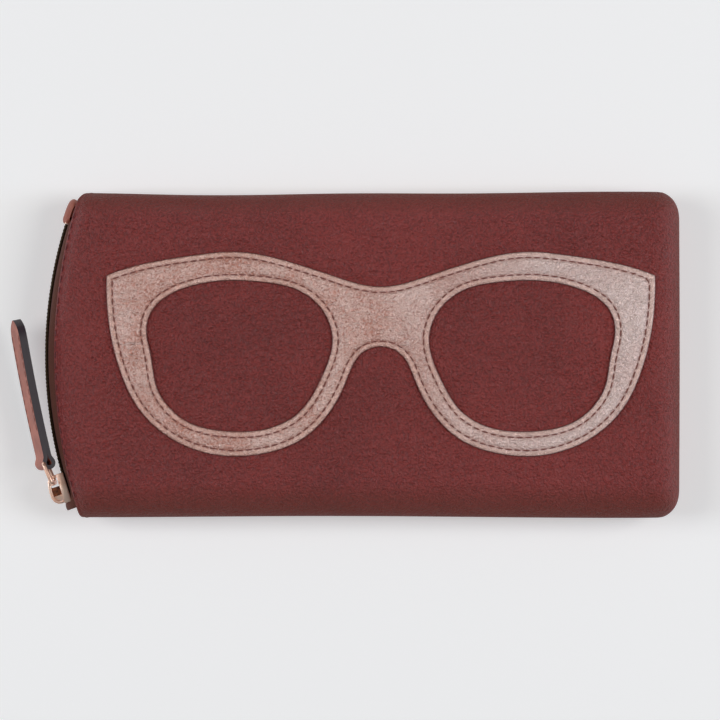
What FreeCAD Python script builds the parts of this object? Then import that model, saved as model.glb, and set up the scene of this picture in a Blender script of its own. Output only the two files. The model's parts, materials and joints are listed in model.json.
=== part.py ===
"""Soft leather eyeglasses case with a curved zip across one short end and a spectacle-shaped applique.

The case lies on its back: X runs along its length (the zip is at -X), Y across it and Z up out of the
table. The origin is the middle of the flat back. Lengths are millimetres, angles degrees.
Two padded and lined panels meet in a turned seam at half depth, round every side but the mouth.
"""
import FreeCAD, Part
import Sketcher
import math
import os

from FreeCAD import Placement, Rotation, Vector

SIZES = [
    ("panel_length", 175.5, "panels, from the mouth fold to the closed end"),
    ("panel_width", 91.8, "panels, across"),
    ("case_depth", 22.0, "front and back panels together"),
    ("mouth_fold_radius", 150.0, "bow of the folded panel edge at the mouth"),
    ("mouth_corner_radius", 5.0, "panel corners beside the mouth"),
    ("closed_corner_radius", 7.3, "panel corners at the closed end"),
    ("roll_radius", 4.8, "rounding from a panel's face into its side"),
    ("leather_thickness", 1.1, "outer leather"),
    ("padding_thickness", 2.0, "foam between leather and lining"),
    ("lining_thickness", 0.6, "woven lining"),
    ("mouth_end_wall", 2.9, "panel beside either end of the mouth"),
    ("mouth_half_width", "panel_width / 2 - mouth_end_wall", "half of the mouth, measured across the case"),
    ("mouth_wall_depth", 13.0, "how far in from the fold the mouth opening is cut"),
    ("margin_end_gap", 0.9, "from the mouth's end to the room for the sewn zip margin"),
    ("margin_half_width", "mouth_half_width - margin_end_gap", "half of the sewn zip margin's room, across"),
    ("fold_height", "2 * coil_half_width", "folded leather edge, above the seam plane"),
    ("margin_roof", 3.5, "from the room for the sewn zip margin up to the panel's face"),
    ("margin_height", "case_depth / 2 - margin_roof", "upper end of the room for the sewn zip margin"),
    ("zip_line_step", 26.8, "how much tighter the zip bows than the folded edge"),
    ("zip_line_radius", "mouth_fold_radius - zip_line_step",
     "outside of the zip coils, about the zip's own centre"),
    ("zip_stand_out", 2.3, "zip coils beyond the folded leather edge, at mid width"),
    ("coil_height", 1.05, "zip coil, square to its tape"),
    ("coil_half_width", 2.1, "one zip coil, along the depth"),
    ("coil_gap", 0.05, "half of the gap between the two coils"),
    ("tape_thickness", 0.5, "woven zip tape"),
    ("tape_inset", 2.55, "from the tape's coil strip in to its sewn margin"),
    ("tape_edge", 1.3, "from the seam plane to the tape's coil edge"),
    ("tape_coil_strip", 2.3, "upper end of the tape strip that carries a coil"),
    ("tape_fold_gap", 0.2, "tape's slope to the folded edge"),
    ("tape_slope_height", "fold_height - tape_fold_gap", "height where the sewn margin starts"),
    ("tape_margin_gap", 0.3, "sewn tape margin to the end of its room"),
    ("tape_margin_height", "margin_height - tape_margin_gap", "upper end of the sewn margin"),
    ("tape_end_tuck", 0.2, "tape past the mouth's half width"),
    ("tape_half_length", "mouth_half_width + tape_end_tuck", "tape, from mid width to either end"),
    ("post_gap", 0.2, "slider post to the first coil"),
    ("chain_low_end", "slider_rest + slider_length / 2 - slider_post_length - post_gap",
     "coils, from mid width to the end where the zip is closed"),
    ("bottom_stop_gap", 0.35, "end tab to the bottom stop"),
    ("chain_high_end", "tab_start - coil_gap - stop_length - bottom_stop_gap",
     "coils, from mid width to the end where the zip is open"),
    ("stop_length", 0.9, "zip stops, along the zip"),
    ("stop_gap", 0.3, "between a stop and what it stands next to"),
    ("tab_overlap", 4.7, "end tab over the tape, along the zip"),
    ("tab_start", "tape_half_length - tab_overlap", "leather end tab, from mid width along the zip"),
    ("tab_length", 6.4, "leather end tab, along the zip"),
    ("tab_width", 8.0, "leather end tab, along the depth"),
    ("tab_thickness", 1.4, "leather end tab"),
    ("tab_gap", 0.2, "between the tape and the end tab"),
    ("slider_length", 8.4, "zip slider, along the zip"),
    ("stop_end_gap", 0.2, "top stops to the tape's end"),
    ("slider_rest", "tape_half_length - slider_length / 2 - stop_gap - stop_length - stop_end_gap",
     "slider's middle when closed, from mid width along the zip"),
    ("slider_width", 6.0, "slider, along the depth"),
    ("slider_plate", 1.2, "thickness of the slider's outer and inner plates"),
    ("slider_clearance", 0.15, "slider to coil and tape"),
    ("slider_flange", 0.7, "side flange of the slider's outer plate"),
    ("slider_flange_drop", 0.85, "how far the flanges reach past the outer plate"),
    ("slider_post_length", 1.2, "dividing post in the slider's nose, along the zip"),
    ("slider_post_width", 1.15, "dividing post, along the depth"),
    ("bridge_length", 7.2, "slider bridge, along the zip"),
    ("bridge_rise", 3.05, "slider bridge above the outer plate"),
    ("bridge_band", 1.0, "thickness of the bridge's band"),
    ("bridge_width", 3.2, "slider bridge, along the depth"),
    ("bridge_round", "0.9 * bridge_band", "rounding of the bridge's shoulders"),
    ("link_wire", 1.1, "pull link wire, thick"),
    ("link_reach", 6.1, "pull link, from bar to bar"),
    ("strap_side_gap", 0.7, "strap's edge to the link's side bar"),
    ("link_inner_width", "strap_width + 2 * strap_side_gap", "pull link, between its side bars"),
    ("link_clearance", 0.1, "pull link bar to the bridge"),
    ("link_outer_corner", "1.45 * link_wire", "rounding of the link's outer corners"),
    ("link_inner_corner", "0.6 * link_wire", "rounding of the link's inner corners"),
    ("link_edge_round", "0.45 * link_wire", "rounding of the wire's own edges"),
    ("link_lean", 23.5, "pull link, turned out from the Y direction"),
    ("strap_lean", 11.4, "pull strap, turned out from the Y direction"),
    ("strap_length", 41.0, "pull strap, from the link bar to its tip"),
    ("strap_width", 10.0, "pull strap, along the depth"),
    ("strap_thickness", 2.0, "pull strap, two leather layers glued together"),
    ("strap_loop_radius", "strap_loop_hole + strap_thickness / 2", "outside of the strap's fold"),
    ("strap_loop_gap", 0.75, "strap's fold to the link's wire"),
    ("strap_loop_hole", "link_wire / 2 + strap_loop_gap", "inside of the strap's fold round the link"),
    ("strap_root_angle", 20.0, "where the blade leaves the round fold, up from the strap's cross direction"),
    ("strap_taper_length", 8.5, "where the fold has closed into a flat strap"),
    ("strap_tip_radius", 4.4, "rounding of the strap's tip"),
    ("spectacle_width", 152.4, "applique, across both rims"),
    ("spectacle_height", 56.9, "applique, from brow to rim bottom"),
    ("spectacle_offset", 3.9, "applique's bridge, from mid length towards the closed end"),
    ("spectacle_thickness", 1.0, "applique leather"),
    ("applique_stitch_inset", 1.7, "applique stitch line, in from the leather's edge"),
    ("applique_stitch_pitch", 2.45, "applique stitches, from one to the next"),
    ("mouth_stitch_pitch", 2.97, "mouth stitches, from one to the next"),
    ("strap_stitch_pitch", 2.5, "strap stitches, from one to the next"),
    ("strap_stitch_inset", "2.5 * stitch_width", "strap stitch line, in from the strap's edge"),
    ("mouth_stitch_turn", 40.0, "where on the panel's rolled edge the mouth stitches lie"),
    ("stitch_length", 1.8, "one stitch, along its line"),
    ("stitch_width", 0.4, "thread, across"),
    ("stitch_height", 0.25, "thread, above the leather"),
]

# Two lengths nearer to each other than this are the same length.
SAME = 1e-6

doc = FreeCAD.newDocument("EyeglassesCase")
sheet = doc.addObject("Spreadsheet::Sheet", "Size")
for row, (alias, value, meaning) in enumerate(SIZES, start=1):
    sheet.set(f"A{row}", meaning)
    sheet.set(f"B{row}", f"={value}")
    sheet.setAlias(f"B{row}", alias)
doc.recompute()

sub_parts = []

# Places that several pieces share, written once in terms of the sheet.
MID = "Size.case_depth / 2"
FOLD_CENTRE = "Size.mouth_fold_radius - Size.panel_length / 2"
ZIP_CENTRE = "Size.zip_line_radius - Size.panel_length / 2 - Size.zip_stand_out"
TAPE_OUTSIDE = "Size.zip_line_radius - Size.coil_height"
TAPE_INSIDE = f"{TAPE_OUTSIDE} - Size.tape_thickness"
PLATE_INSIDE = "Size.zip_line_radius + Size.slider_clearance"
PLATE_OUTSIDE = f"{PLATE_INSIDE} + Size.slider_plate"
BAR_RADIUS = (
    f"{PLATE_OUTSIDE} + Size.bridge_rise - Size.bridge_band - Size.link_clearance - Size.link_wire / 2"
)
BAR_STATION = (
    "-Size.slider_rest + Size.bridge_length / 2 - Size.bridge_band"
    " - Size.link_clearance - Size.link_wire / 2"
)


def size(alias):
    """One size of the sheet, as a number."""
    return float(sheet.get(alias))


def turned(length):
    """The angle about the zip's centre that a length along the zip takes."""
    return f"({length}) / Size.zip_line_radius * 180 / pi"


def keep(piece, label):
    """Marks a finished sub-part, whose label names its file."""
    piece.Label = label
    sub_parts.append(piece)
    return piece


def edges(shape, wanted):
    """The names of the edges that pass a test."""
    return [f"Edge{i}" for i, edge in enumerate(shape.Edges, start=1) if wanted(edge)]


def middle(edge):
    """The point half-way along an edge."""
    return edge.valueAt((edge.FirstParameter + edge.LastParameter) / 2)


def upright(edge):
    """Whether an edge is a straight one along Z."""
    box = edge.BoundBox
    return box.XLength < SAME and box.YLength < SAME


def crosswise(edge):
    """Whether an edge is a straight one along X."""
    box = edge.BoundBox
    return box.YLength < SAME and box.ZLength < SAME


def own_plane(body, role):
    """One of a body's own origin planes."""
    return next(f for f in body.Origin.OriginFeatures if f.Role == role)


def place(body, x="0", y="0", z="0", turn="0"):
    """Ties a body's place, and its turn about Z, to the sheet."""
    body.Placement = Placement(Vector(), Rotation(Vector(0, 0, 1), 1.0))
    body.setExpression(".Placement.Base.x", x)
    body.setExpression(".Placement.Base.y", y)
    body.setExpression(".Placement.Base.z", z)
    body.setExpression(".Placement.Rotation.Angle", turn)


def new_sketch(body, name, role):
    """An empty sketch on one of the body's own planes."""
    sketch = body.newObject("Sketcher::SketchObject", name)
    sketch.AttachmentSupport = [(own_plane(body, role), "")]
    sketch.MapMode = "FlatFace"
    return sketch


def tie(sketch, kind, geometry, point, expression):
    """Ties a sketch point's distance from the origin, along X or Y, to the sheet."""
    index = sketch.addConstraint(Sketcher.Constraint(kind, -1, 1, geometry, point, 1.0))
    sketch.setExpression(f"Constraints[{index}]", expression)


def polygon(body, name, role, corners):
    """A closed outline of straight edges, with every corner tied to the sheet."""
    sketch = new_sketch(body, name, role)
    count = len(corners)
    turns = [2 * math.pi * i / count for i in range(count)]
    ring = [Vector(math.cos(turn), math.sin(turn), 0) for turn in turns]
    for i in range(count):
        sketch.addGeometry(Part.LineSegment(ring[i], ring[(i + 1) % count]))
    for i in range(count):
        sketch.addConstraint(Sketcher.Constraint("Coincident", i, 2, (i + 1) % count, 1))
    for i, (across, up) in enumerate(corners):
        tie(sketch, "DistanceX", i, 1, across)
        tie(sketch, "DistanceY", i, 1, up)
    return sketch


def pad(body, sketch, length, both_ways=False, backwards=False):
    """Pads a sketch by a length tied to the sheet."""
    feature = body.newObject("PartDesign::Pad", f"{sketch.Name}_pad")
    feature.Profile = sketch
    feature.Midplane = both_ways
    feature.Reversed = backwards
    feature.setExpression("Length", length)
    return feature


def fillet(body, base, names, radius):
    """Rounds named edges of a feature by a radius tied to the sheet."""
    feature = body.newObject("PartDesign::Fillet", f"{base.Name}_round")
    feature.Base = (base, names)
    feature.setExpression("Radius", radius)
    doc.recompute()
    return feature


def zip_sector(body, name, corners, sweep):
    """Sweeps a profile, given as radius and height, along the zip's curve about its centre."""
    sketch = polygon(body, name, "XZ_Plane", corners)
    turn = body.newObject("PartDesign::Revolution", f"{name}_sweep")
    turn.Profile = sketch
    turn.ReferenceAxis = (sketch, ["V_Axis"])
    turn.Reversed = True
    turn.setExpression("Angle", turned(sweep))
    return turn


def zip_piece(label, corners, start, sweep):
    """A sub-part with one profile all along a stretch of the zip."""
    body = doc.addObject("PartDesign::Body", f"{label}_body")
    place(body, x=ZIP_CENTRE, z=MID, turn=f"180 - {turned(start)}")
    zip_sector(body, f"{label}_profile", corners, sweep)
    return keep(body, label)


# ------------------------------------------------------------------ panels

def panel_sketch(body, name, inset):
    """The panel's outline, drawn in by an inset: three straight sides and the bowed mouth."""
    sketch = new_sketch(body, name, "XY_Plane")
    half_length = size("panel_length") / 2
    half_width = size("panel_width") / 2
    radius = size("mouth_fold_radius")
    centre = radius - half_length
    swing = math.asin(half_width / radius)
    mouth_x = centre - radius * math.cos(swing)
    low_mouth = Vector(mouth_x, -half_width, 0)
    low_end = Vector(half_length, -half_width, 0)
    high_end = Vector(half_length, half_width, 0)
    high_mouth = Vector(mouth_x, half_width, 0)
    circle = Part.Circle(Vector(centre, 0, 0), Vector(0, 0, 1), radius)
    sketch.addGeometry(Part.LineSegment(low_mouth, low_end))
    sketch.addGeometry(Part.LineSegment(low_end, high_end))
    sketch.addGeometry(Part.LineSegment(high_end, high_mouth))
    sketch.addGeometry(Part.ArcOfCircle(circle, math.pi - swing, math.pi + swing))
    for joint in ((0, 2, 1, 1), (1, 2, 2, 1), (2, 2, 3, 1), (3, 2, 0, 1)):
        sketch.addConstraint(Sketcher.Constraint("Coincident", *joint))
    sketch.addConstraint(Sketcher.Constraint("Horizontal", 0))
    sketch.addConstraint(Sketcher.Constraint("Vertical", 1))
    sketch.addConstraint(Sketcher.Constraint("Horizontal", 2))
    tie(sketch, "DistanceX", 1, 1, f"Size.panel_length / 2 - ({inset})")
    tie(sketch, "DistanceY", 1, 1, f"-Size.panel_width / 2 + ({inset})")
    tie(sketch, "DistanceY", 1, 2, f"Size.panel_width / 2 - ({inset})")
    tie(sketch, "DistanceX", 3, 3, FOLD_CENTRE)
    sketch.addConstraint(Sketcher.Constraint("PointOnObject", 3, 3, -1))
    bow = sketch.addConstraint(Sketcher.Constraint("Radius", 3, radius))
    sketch.setExpression(f"Constraints[{bow}]", f"Size.mouth_fold_radius - ({inset})")
    return sketch


def panel_form(name, inset, front):
    """A solid half case, drawn in by an inset: front above the seam plane, back below it."""
    body = doc.addObject("PartDesign::Body", name)
    place(body, z=MID)
    sketch = panel_sketch(body, f"{name}_outline", inset)
    block = pad(body, sketch, f"Size.case_depth / 2 - ({inset})", backwards=not front)
    doc.recompute()
    at_mouth = edges(block.Shape, lambda e: upright(e) and middle(e).x < 0)
    block = fillet(body, block, at_mouth, f"Size.mouth_corner_radius - ({inset})")
    at_end = edges(block.Shape, lambda e: upright(e) and middle(e).x > 0)
    block = fillet(body, block, at_end, f"Size.closed_corner_radius - ({inset})")
    far = max(abs(v.Z) for v in block.Shape.Vertexes)
    rim = edges(block.Shape, lambda e: abs(abs(middle(e).z) - far) < SAME)
    fillet(body, block, rim, f"Size.roll_radius - ({inset})")
    return body


def mouth_cutter(name, half_width, height, front):
    """The block that opens the mouth wall of one panel from the seam plane up to a height."""
    box = doc.addObject("Part::Box", name)
    box.setExpression("Length", "2 * Size.mouth_wall_depth")
    box.setExpression("Width", f"2 * {half_width}")
    box.setExpression("Height", height)
    box.setExpression(".Placement.Base.x", "-Size.panel_length / 2 - Size.mouth_wall_depth")
    box.setExpression(".Placement.Base.y", f"-{half_width}")
    box.setExpression(".Placement.Base.z", MID if front else f"{MID} - ({height})")
    return box


def cut(name, base, tool):
    """What is left of one object after another is taken out of it."""
    feature = doc.addObject("Part::Cut", name)
    feature.Base = base
    feature.Tool = tool
    return feature


def panel(side, front):
    """One panel's three layers: leather outside, foam, and lining inside."""
    to_foam = "Size.leather_thickness"
    to_lining = f"{to_foam} + Size.padding_thickness"
    to_hollow = f"{to_lining} + Size.lining_thickness"
    outside = panel_form(f"{side}_outside_form", "0", front)
    foam_form = panel_form(f"{side}_foam_form", to_foam, front)
    lining_form = panel_form(f"{side}_lining_form", to_lining, front)
    hollow_form = panel_form(f"{side}_hollow_form", to_hollow, front)
    fold_cutter = mouth_cutter(f"{side}_fold_cutter", "Size.mouth_half_width", "Size.fold_height", front)
    margin_cutter = mouth_cutter(
        f"{side}_margin_cutter", "Size.margin_half_width", "Size.margin_height", front
    )
    skin = cut(f"{side}_skin_shell", outside, foam_form)
    foam = cut(f"{side}_foam_shell", foam_form, lining_form)
    lining = cut(f"{side}_lining_shell", lining_form, hollow_form)
    keep(cut(f"{side}_skin", skin, fold_cutter), f"{side}_panel")
    keep(cut(f"{side}_foam", foam, margin_cutter), f"{side}_padding")
    keep(cut(f"{side}_inside", lining, margin_cutter), f"{side}_lining")


# ------------------------------------------------------------------ zip

def mirrored(corners, front):
    """A profile drawn for the front, or turned over for the back."""
    if front:
        return corners
    return [(radius, f"-({height})") for radius, height in reversed(corners)]


def zip_tape(side, front):
    """Woven tape: a strip for the coil, a slope in under the folded leather, and the sewn margin."""
    corners = [
        (TAPE_INSIDE, "Size.tape_edge"),
        (TAPE_OUTSIDE, "Size.tape_edge"),
        (TAPE_OUTSIDE, "Size.tape_coil_strip"),
        (f"{TAPE_OUTSIDE} - Size.tape_inset", "Size.tape_slope_height"),
        (f"{TAPE_OUTSIDE} - Size.tape_inset", "Size.tape_margin_height"),
        (f"{TAPE_INSIDE} - Size.tape_inset", "Size.tape_margin_height"),
        (f"{TAPE_INSIDE} - Size.tape_inset", "Size.tape_slope_height - Size.tape_thickness / 2"),
        (TAPE_INSIDE, "Size.tape_coil_strip - Size.tape_thickness / 2"),
    ]
    corners = mirrored(corners, front)
    zip_piece(f"{side}_zip_tape", corners, "-Size.tape_half_length", "2 * Size.tape_half_length")


def zip_coil(side, front):
    """One half of the closed chain, standing on its tape."""
    corners = [
        (TAPE_OUTSIDE, "Size.coil_gap"),
        ("Size.zip_line_radius", "Size.coil_gap"),
        ("Size.zip_line_radius", "Size.coil_half_width"),
        (TAPE_OUTSIDE, "Size.coil_half_width"),
    ]
    corners = mirrored(corners, front)
    zip_piece(f"{side}_zip_coil", corners, "-Size.chain_low_end", "Size.chain_low_end + Size.chain_high_end")


def top_stop(side, front):
    """The stop on one tape that the slider meets when the zip is closed."""
    corners = [
        (TAPE_OUTSIDE, "2 * Size.coil_gap"),
        ("Size.zip_line_radius", "2 * Size.coil_gap"),
        ("Size.zip_line_radius", "Size.coil_half_width"),
        (TAPE_OUTSIDE, "Size.coil_half_width"),
    ]
    start = "-Size.slider_rest - Size.slider_length / 2 - Size.stop_gap - Size.stop_length"
    zip_piece(f"{side}_top_stop", mirrored(corners, front), start, "Size.stop_length")


def block_profile(low_radius, high_radius, half_height):
    """A rectangle that lies evenly about the seam plane."""
    return [
        (low_radius, f"-({half_height})"),
        (high_radius, f"-({half_height})"),
        (high_radius, half_height),
        (low_radius, half_height),
    ]


def zip_ends():
    """The stop that joins both tapes where the zip is open, and the leather tab over the zip's end."""
    stop = block_profile(TAPE_OUTSIDE, "Size.zip_line_radius", "Size.coil_half_width")
    zip_piece("zip_bottom_stop", stop, "Size.chain_high_end + Size.coil_gap", "Size.stop_length")
    low = f"{TAPE_OUTSIDE} + Size.tab_gap"
    tab = block_profile(low, f"{low} + Size.tab_thickness", "Size.tab_width / 2")
    zip_piece("zip_end_tab", tab, "Size.tab_start", "Size.tab_length")


def zip_slider():
    """The slider's cast body: flanged outer plate, inner plate, and the post that parts the coils."""
    body = doc.addObject("PartDesign::Body", "zip_slider_cast")
    nose = "-Size.slider_rest - Size.slider_length / 2"
    place(body, x=ZIP_CENTRE, z=MID, turn=f"180 - {turned(nose)}")
    half = "Size.slider_width / 2"
    inner_half = f"{half} - Size.slider_flange"
    flange_foot = f"{PLATE_INSIDE} - Size.slider_flange_drop"
    channel = [
        (PLATE_OUTSIDE, f"-{half}"),
        (PLATE_OUTSIDE, half),
        (flange_foot, half),
        (flange_foot, inner_half),
        (PLATE_INSIDE, inner_half),
        (PLATE_INSIDE, f"-({inner_half})"),
        (flange_foot, f"-({inner_half})"),
        (flange_foot, f"-{half}"),
    ]
    inner_face = f"{TAPE_INSIDE} - Size.slider_clearance"
    inner_plate = block_profile(f"{inner_face} - Size.slider_plate", inner_face, "Size.coil_half_width")
    post = [
        (inner_face, "Size.coil_gap"),
        (PLATE_INSIDE, "Size.coil_gap"),
        (PLATE_INSIDE, "Size.coil_gap + Size.slider_post_width"),
        (inner_face, "Size.coil_gap + Size.slider_post_width"),
    ]
    zip_sector(body, "slider_outer_plate", channel, "Size.slider_length")
    doc.recompute()
    zip_sector(body, "slider_post", post, "Size.slider_post_length")
    doc.recompute()
    zip_sector(body, "slider_inner_plate", inner_plate, "Size.slider_length")
    doc.recompute()
    keep(body, "zip_slider_body")


def slider_bridge():
    """The arched band on the slider that the pull link hangs from."""
    body = doc.addObject("PartDesign::Body", "slider_bridge_band")
    place(body, x=ZIP_CENTRE, z=MID, turn=f"180 - {turned('-Size.slider_rest')}")
    half = "Size.bridge_length / 2"
    top = f"{PLATE_OUTSIDE} + Size.bridge_rise"
    corners = [
        (PLATE_OUTSIDE, f"-{half}"),
        (top, f"-{half}"),
        (top, half),
        (PLATE_OUTSIDE, half),
        (PLATE_OUTSIDE, f"{half} - Size.bridge_band"),
        (f"{top} - Size.bridge_band", f"{half} - Size.bridge_band"),
        (f"{top} - Size.bridge_band", f"-{half} + Size.bridge_band"),
        (PLATE_OUTSIDE, f"-{half} + Size.bridge_band"),
    ]
    arch = pad(body, polygon(body, "bridge_side", "XY_Plane", corners), "Size.bridge_width", both_ways=True)
    doc.recompute()
    crown = max(v.X for v in arch.Shape.Vertexes)
    shoulders = edges(arch.Shape, lambda e: upright(e) and abs(middle(e).x - crown) < SAME)
    fillet(body, arch, shoulders, "Size.bridge_round")
    keep(body, "slider_bridge")


# ------------------------------------------------------------------ pull

def near_bar():
    """Where the link's near bar lies in the bridge, as expressions for X and Y."""
    angle = f"({turned(BAR_STATION)}) * 1 deg"
    return f"{ZIP_CENTRE} - ({BAR_RADIUS}) * cos({angle})", f"({BAR_RADIUS}) * sin({angle})"


def far_bar():
    """Where the link's far bar lies in the strap's fold, as expressions for X and Y."""
    x, y = near_bar()
    lean = "Size.link_lean * 1 deg"
    return f"{x} - Size.link_reach * sin({lean})", f"{y} + Size.link_reach * cos({lean})"


def pull_link():
    """A ring of round wire, with one bar in the slider's bridge and one in the strap's fold."""
    body = doc.addObject("PartDesign::Body", "pull_link_wire")
    x, y = near_bar()
    place(body, x=x, y=y, z=MID, turn="Size.link_lean")
    wire = "Size.link_wire / 2"
    width = "Size.link_inner_width / 2"
    outer = [
        (f"-{wire}", f"-{width} - Size.link_wire"),
        (f"Size.link_reach + {wire}", f"-{width} - Size.link_wire"),
        (f"Size.link_reach + {wire}", f"{width} + Size.link_wire"),
        (f"-{wire}", f"{width} + Size.link_wire"),
    ]
    inner = [
        (wire, f"-{width}"),
        (f"Size.link_reach - {wire}", f"-{width}"),
        (f"Size.link_reach - {wire}", width),
        (wire, width),
    ]
    block = pad(body, polygon(body, "link_outside", "YZ_Plane", outer), "Size.link_wire", both_ways=True)
    doc.recompute()
    window = body.newObject("PartDesign::Pocket", "link_window")
    window.Profile = polygon(body, "link_inside", "YZ_Plane", inner)
    window.Midplane = True
    window.setExpression("Length", "2 * Size.link_wire")
    doc.recompute()
    inside = size("link_inner_width") / 2
    outer_corners = edges(window.Shape, lambda e: crosswise(e) and abs(middle(e).z) > inside + SAME)
    ring = fillet(body, window, outer_corners, "Size.link_outer_corner")
    inner_corners = edges(ring.Shape, lambda e: crosswise(e) and abs(abs(middle(e).z) - inside) < SAME)
    ring = fillet(body, ring, inner_corners, "Size.link_inner_corner")
    rims = edges(ring.Shape, lambda e: abs(abs(middle(e).x) - size("link_wire") / 2) < SAME
                 and e.BoundBox.XLength < SAME)
    fillet(body, ring, rims, "Size.link_edge_round")
    keep(body, "pull_link")


def pull_strap():
    """A leather strap folded round the link's far bar and glued to itself."""
    body = doc.addObject("PartDesign::Body", "pull_strap_leather")
    x, y = far_bar()
    place(body, x=x, y=y, z=MID, turn="Size.strap_lean")
    fold = new_sketch(body, "strap_fold", "XY_Plane")
    fold.addGeometry(Part.Circle(Vector(), Vector(0, 0, 1), size("strap_loop_radius")))
    fold.addConstraint(Sketcher.Constraint("Coincident", 0, 3, -1, 1))
    outer = fold.addConstraint(Sketcher.Constraint("Radius", 0, size("strap_loop_radius")))
    fold.setExpression(f"Constraints[{outer}]", "Size.strap_loop_radius")
    pad(body, fold, "Size.strap_width", both_ways=True)
    doc.recompute()
    half = "Size.strap_thickness / 2"
    root_x = "Size.strap_loop_radius * cos(Size.strap_root_angle * 1 deg)"
    root_y = "Size.strap_loop_radius * sin(Size.strap_root_angle * 1 deg)"
    corners = [
        (f"-{root_x}", root_y),
        (root_x, root_y),
        (half, "Size.strap_taper_length"),
        (half, "Size.strap_length"),
        (f"-{half}", "Size.strap_length"),
        (f"-{half}", "Size.strap_taper_length"),
    ]
    blade = pad(body, polygon(body, "strap_side", "XY_Plane", corners), "Size.strap_width", both_ways=True)
    doc.recompute()
    tip = edges(blade.Shape, lambda e: crosswise(e) and abs(middle(e).y - size("strap_length")) < SAME)
    fillet(body, blade, tip, "Size.strap_tip_radius")
    hole = new_sketch(body, "strap_hole", "XY_Plane")
    hole.addGeometry(Part.Circle(Vector(), Vector(0, 0, 1), size("strap_loop_hole")))
    hole.addConstraint(Sketcher.Constraint("Coincident", 0, 3, -1, 1))
    inner = hole.addConstraint(Sketcher.Constraint("Radius", 0, size("strap_loop_hole")))
    hole.setExpression(f"Constraints[{inner}]", "Size.strap_loop_hole")
    opening = body.newObject("PartDesign::Pocket", "strap_opening")
    opening.Profile = hole
    opening.Midplane = True
    opening.setExpression("Length", "2 * Size.strap_width")
    doc.recompute()
    keep(body, "pull_strap")


# ------------------------------------------------------------------ stitches and applique

def group(shapes, label):
    """A sub-part made of many small separate solids."""
    feature = doc.addObject("Part::Feature", f"{label}_group")
    feature.Shape = Part.makeCompound(shapes)
    feature.Placement = Placement()
    return keep(feature, label)


def stitch(point, along, outward):
    """One stitch: a short bar of thread lying on the leather at a point."""
    length = size("stitch_length")
    width = size("stitch_width")
    bar = Part.makeBox(length, width, size("stitch_height"), Vector(-length / 2, -width / 2, 0))
    bar.Placement = Placement(point, Rotation(along, Vector(), outward, "ZXY"))
    return bar


def mouth_stitches(side, front):
    """The row of stitches along the folded leather edge, on the panel's rolled rim."""
    turn = math.radians(size("mouth_stitch_turn"))
    roll = size("roll_radius")
    radius = size("mouth_fold_radius") - roll * (1 - math.cos(turn))
    height = size("case_depth") / 2 - roll * (1 - math.sin(turn))
    centre = Vector(size("mouth_fold_radius") - size("panel_length") / 2, 0, size("case_depth") / 2)
    sign = 1 if front else -1
    reach = size("panel_width") / 2 - size("mouth_corner_radius") - size("stitch_length")
    swing = math.asin(reach / size("mouth_fold_radius"))
    count = int(2 * swing * radius / size("mouth_stitch_pitch"))
    bars = []
    for i in range(count + 1):
        angle = swing * (2 * i / count - 1)
        inward = Vector(-math.cos(angle), math.sin(angle), 0)
        along = Vector(math.sin(angle), math.cos(angle), 0)
        outward = inward * math.cos(turn) + Vector(0, 0, sign * math.sin(turn))
        bars.append(stitch(centre + inward * radius + Vector(0, 0, sign * height), along, outward))
    group(bars, f"{side}_mouth_stitching")


def strap_stitches():
    """Stitches along both long edges of the strap's outer face."""
    pitch = size("strap_stitch_pitch")
    edge = size("strap_width") / 2 - size("strap_stitch_inset")
    start = size("strap_taper_length") + size("stitch_length")
    end = size("strap_length") - size("strap_tip_radius") - size("stitch_length") / 2
    rows = int((end - start) / pitch)
    bars = []
    for side in (-1, 1):
        for i in range(rows + 1):
            point = Vector(-size("strap_thickness") / 2, start + i * (end - start) / rows, side * edge)
            bars.append(stitch(point, Vector(0, 1, 0), Vector(-1, 0, 0)))
    strap = next(p for p in sub_parts if p.Label == "pull_strap")
    group([bar.transformed(strap.Placement.toMatrix()) for bar in bars], "pull_strap_stitching")


# Half of the spectacle outline, from the bridge out to the tip and back under the rim. The points are
# millimetres on an applique 152.4 wide and 56.9 high, and are scaled to the sheet's sizes.
DRAWN_WIDTH = 152.4
DRAWN_HEIGHT = 56.9
BROW = [(0, 19.0), (7.3, 20.1), (14.0, 22.3), (23.0, 25.2), (31.9, 27.6), (40.9, 28.7), (49.8, 28.0),
        (58.8, 26.7), (67.8, 24.9), (76.2, 22.1)]
RIM = [(76.2, 22.1), (75.9, 12.0), (74.5, 3.0), (72.1, -5.2), (67.8, -14.1), (61.0, -21.3), (54.3, -25.3),
       (43.1, -28.1), (31.9, -27.3), (23.1, -24.2), (14.1, -15.9), (9.5, -7.3), (5.3, 0.3), (0, 2.2)]
LENS = [(64.3, 2.8), (61.2, 14.8), (54.5, 18.4), (43.3, 20.5), (32.1, 20.0), (23.1, 17.9), (16.4, 12.6),
        (13.5, 4.8), (16.4, -6.0), (23.1, -16.2), (32.1, -20.5), (43.3, -21.0), (54.5, -17.9), (61.6, -10.0)]


def drawn(points, side=1):
    """Outline points scaled to size, on one side of the bridge, at the applique's underside."""
    across = size("spectacle_width") / DRAWN_WIDTH
    up = size("spectacle_height") / DRAWN_HEIGHT
    return [
        Vector(size("spectacle_offset") + side * x * across, y * up, size("case_depth"))
        for x, y in points
    ]


def curve(points, closed=False):
    """A smooth curve through points."""
    spline = Part.BSplineCurve()
    spline.interpolate(points, PeriodicFlag=closed)
    return spline.toShape()


def spectacle_wires():
    """The outline of the spectacle applique, and its left and right lens openings."""
    brow = curve(drawn(BROW[:0:-1], -1) + drawn(BROW))
    rim = curve(drawn(RIM) + drawn(RIM[-2::-1], -1))
    outline = Part.Wire([brow, rim])
    lenses = [Part.Wire([curve(drawn(LENS, side), closed=True)]) for side in (-1, 1)]
    return outline, lenses


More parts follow.
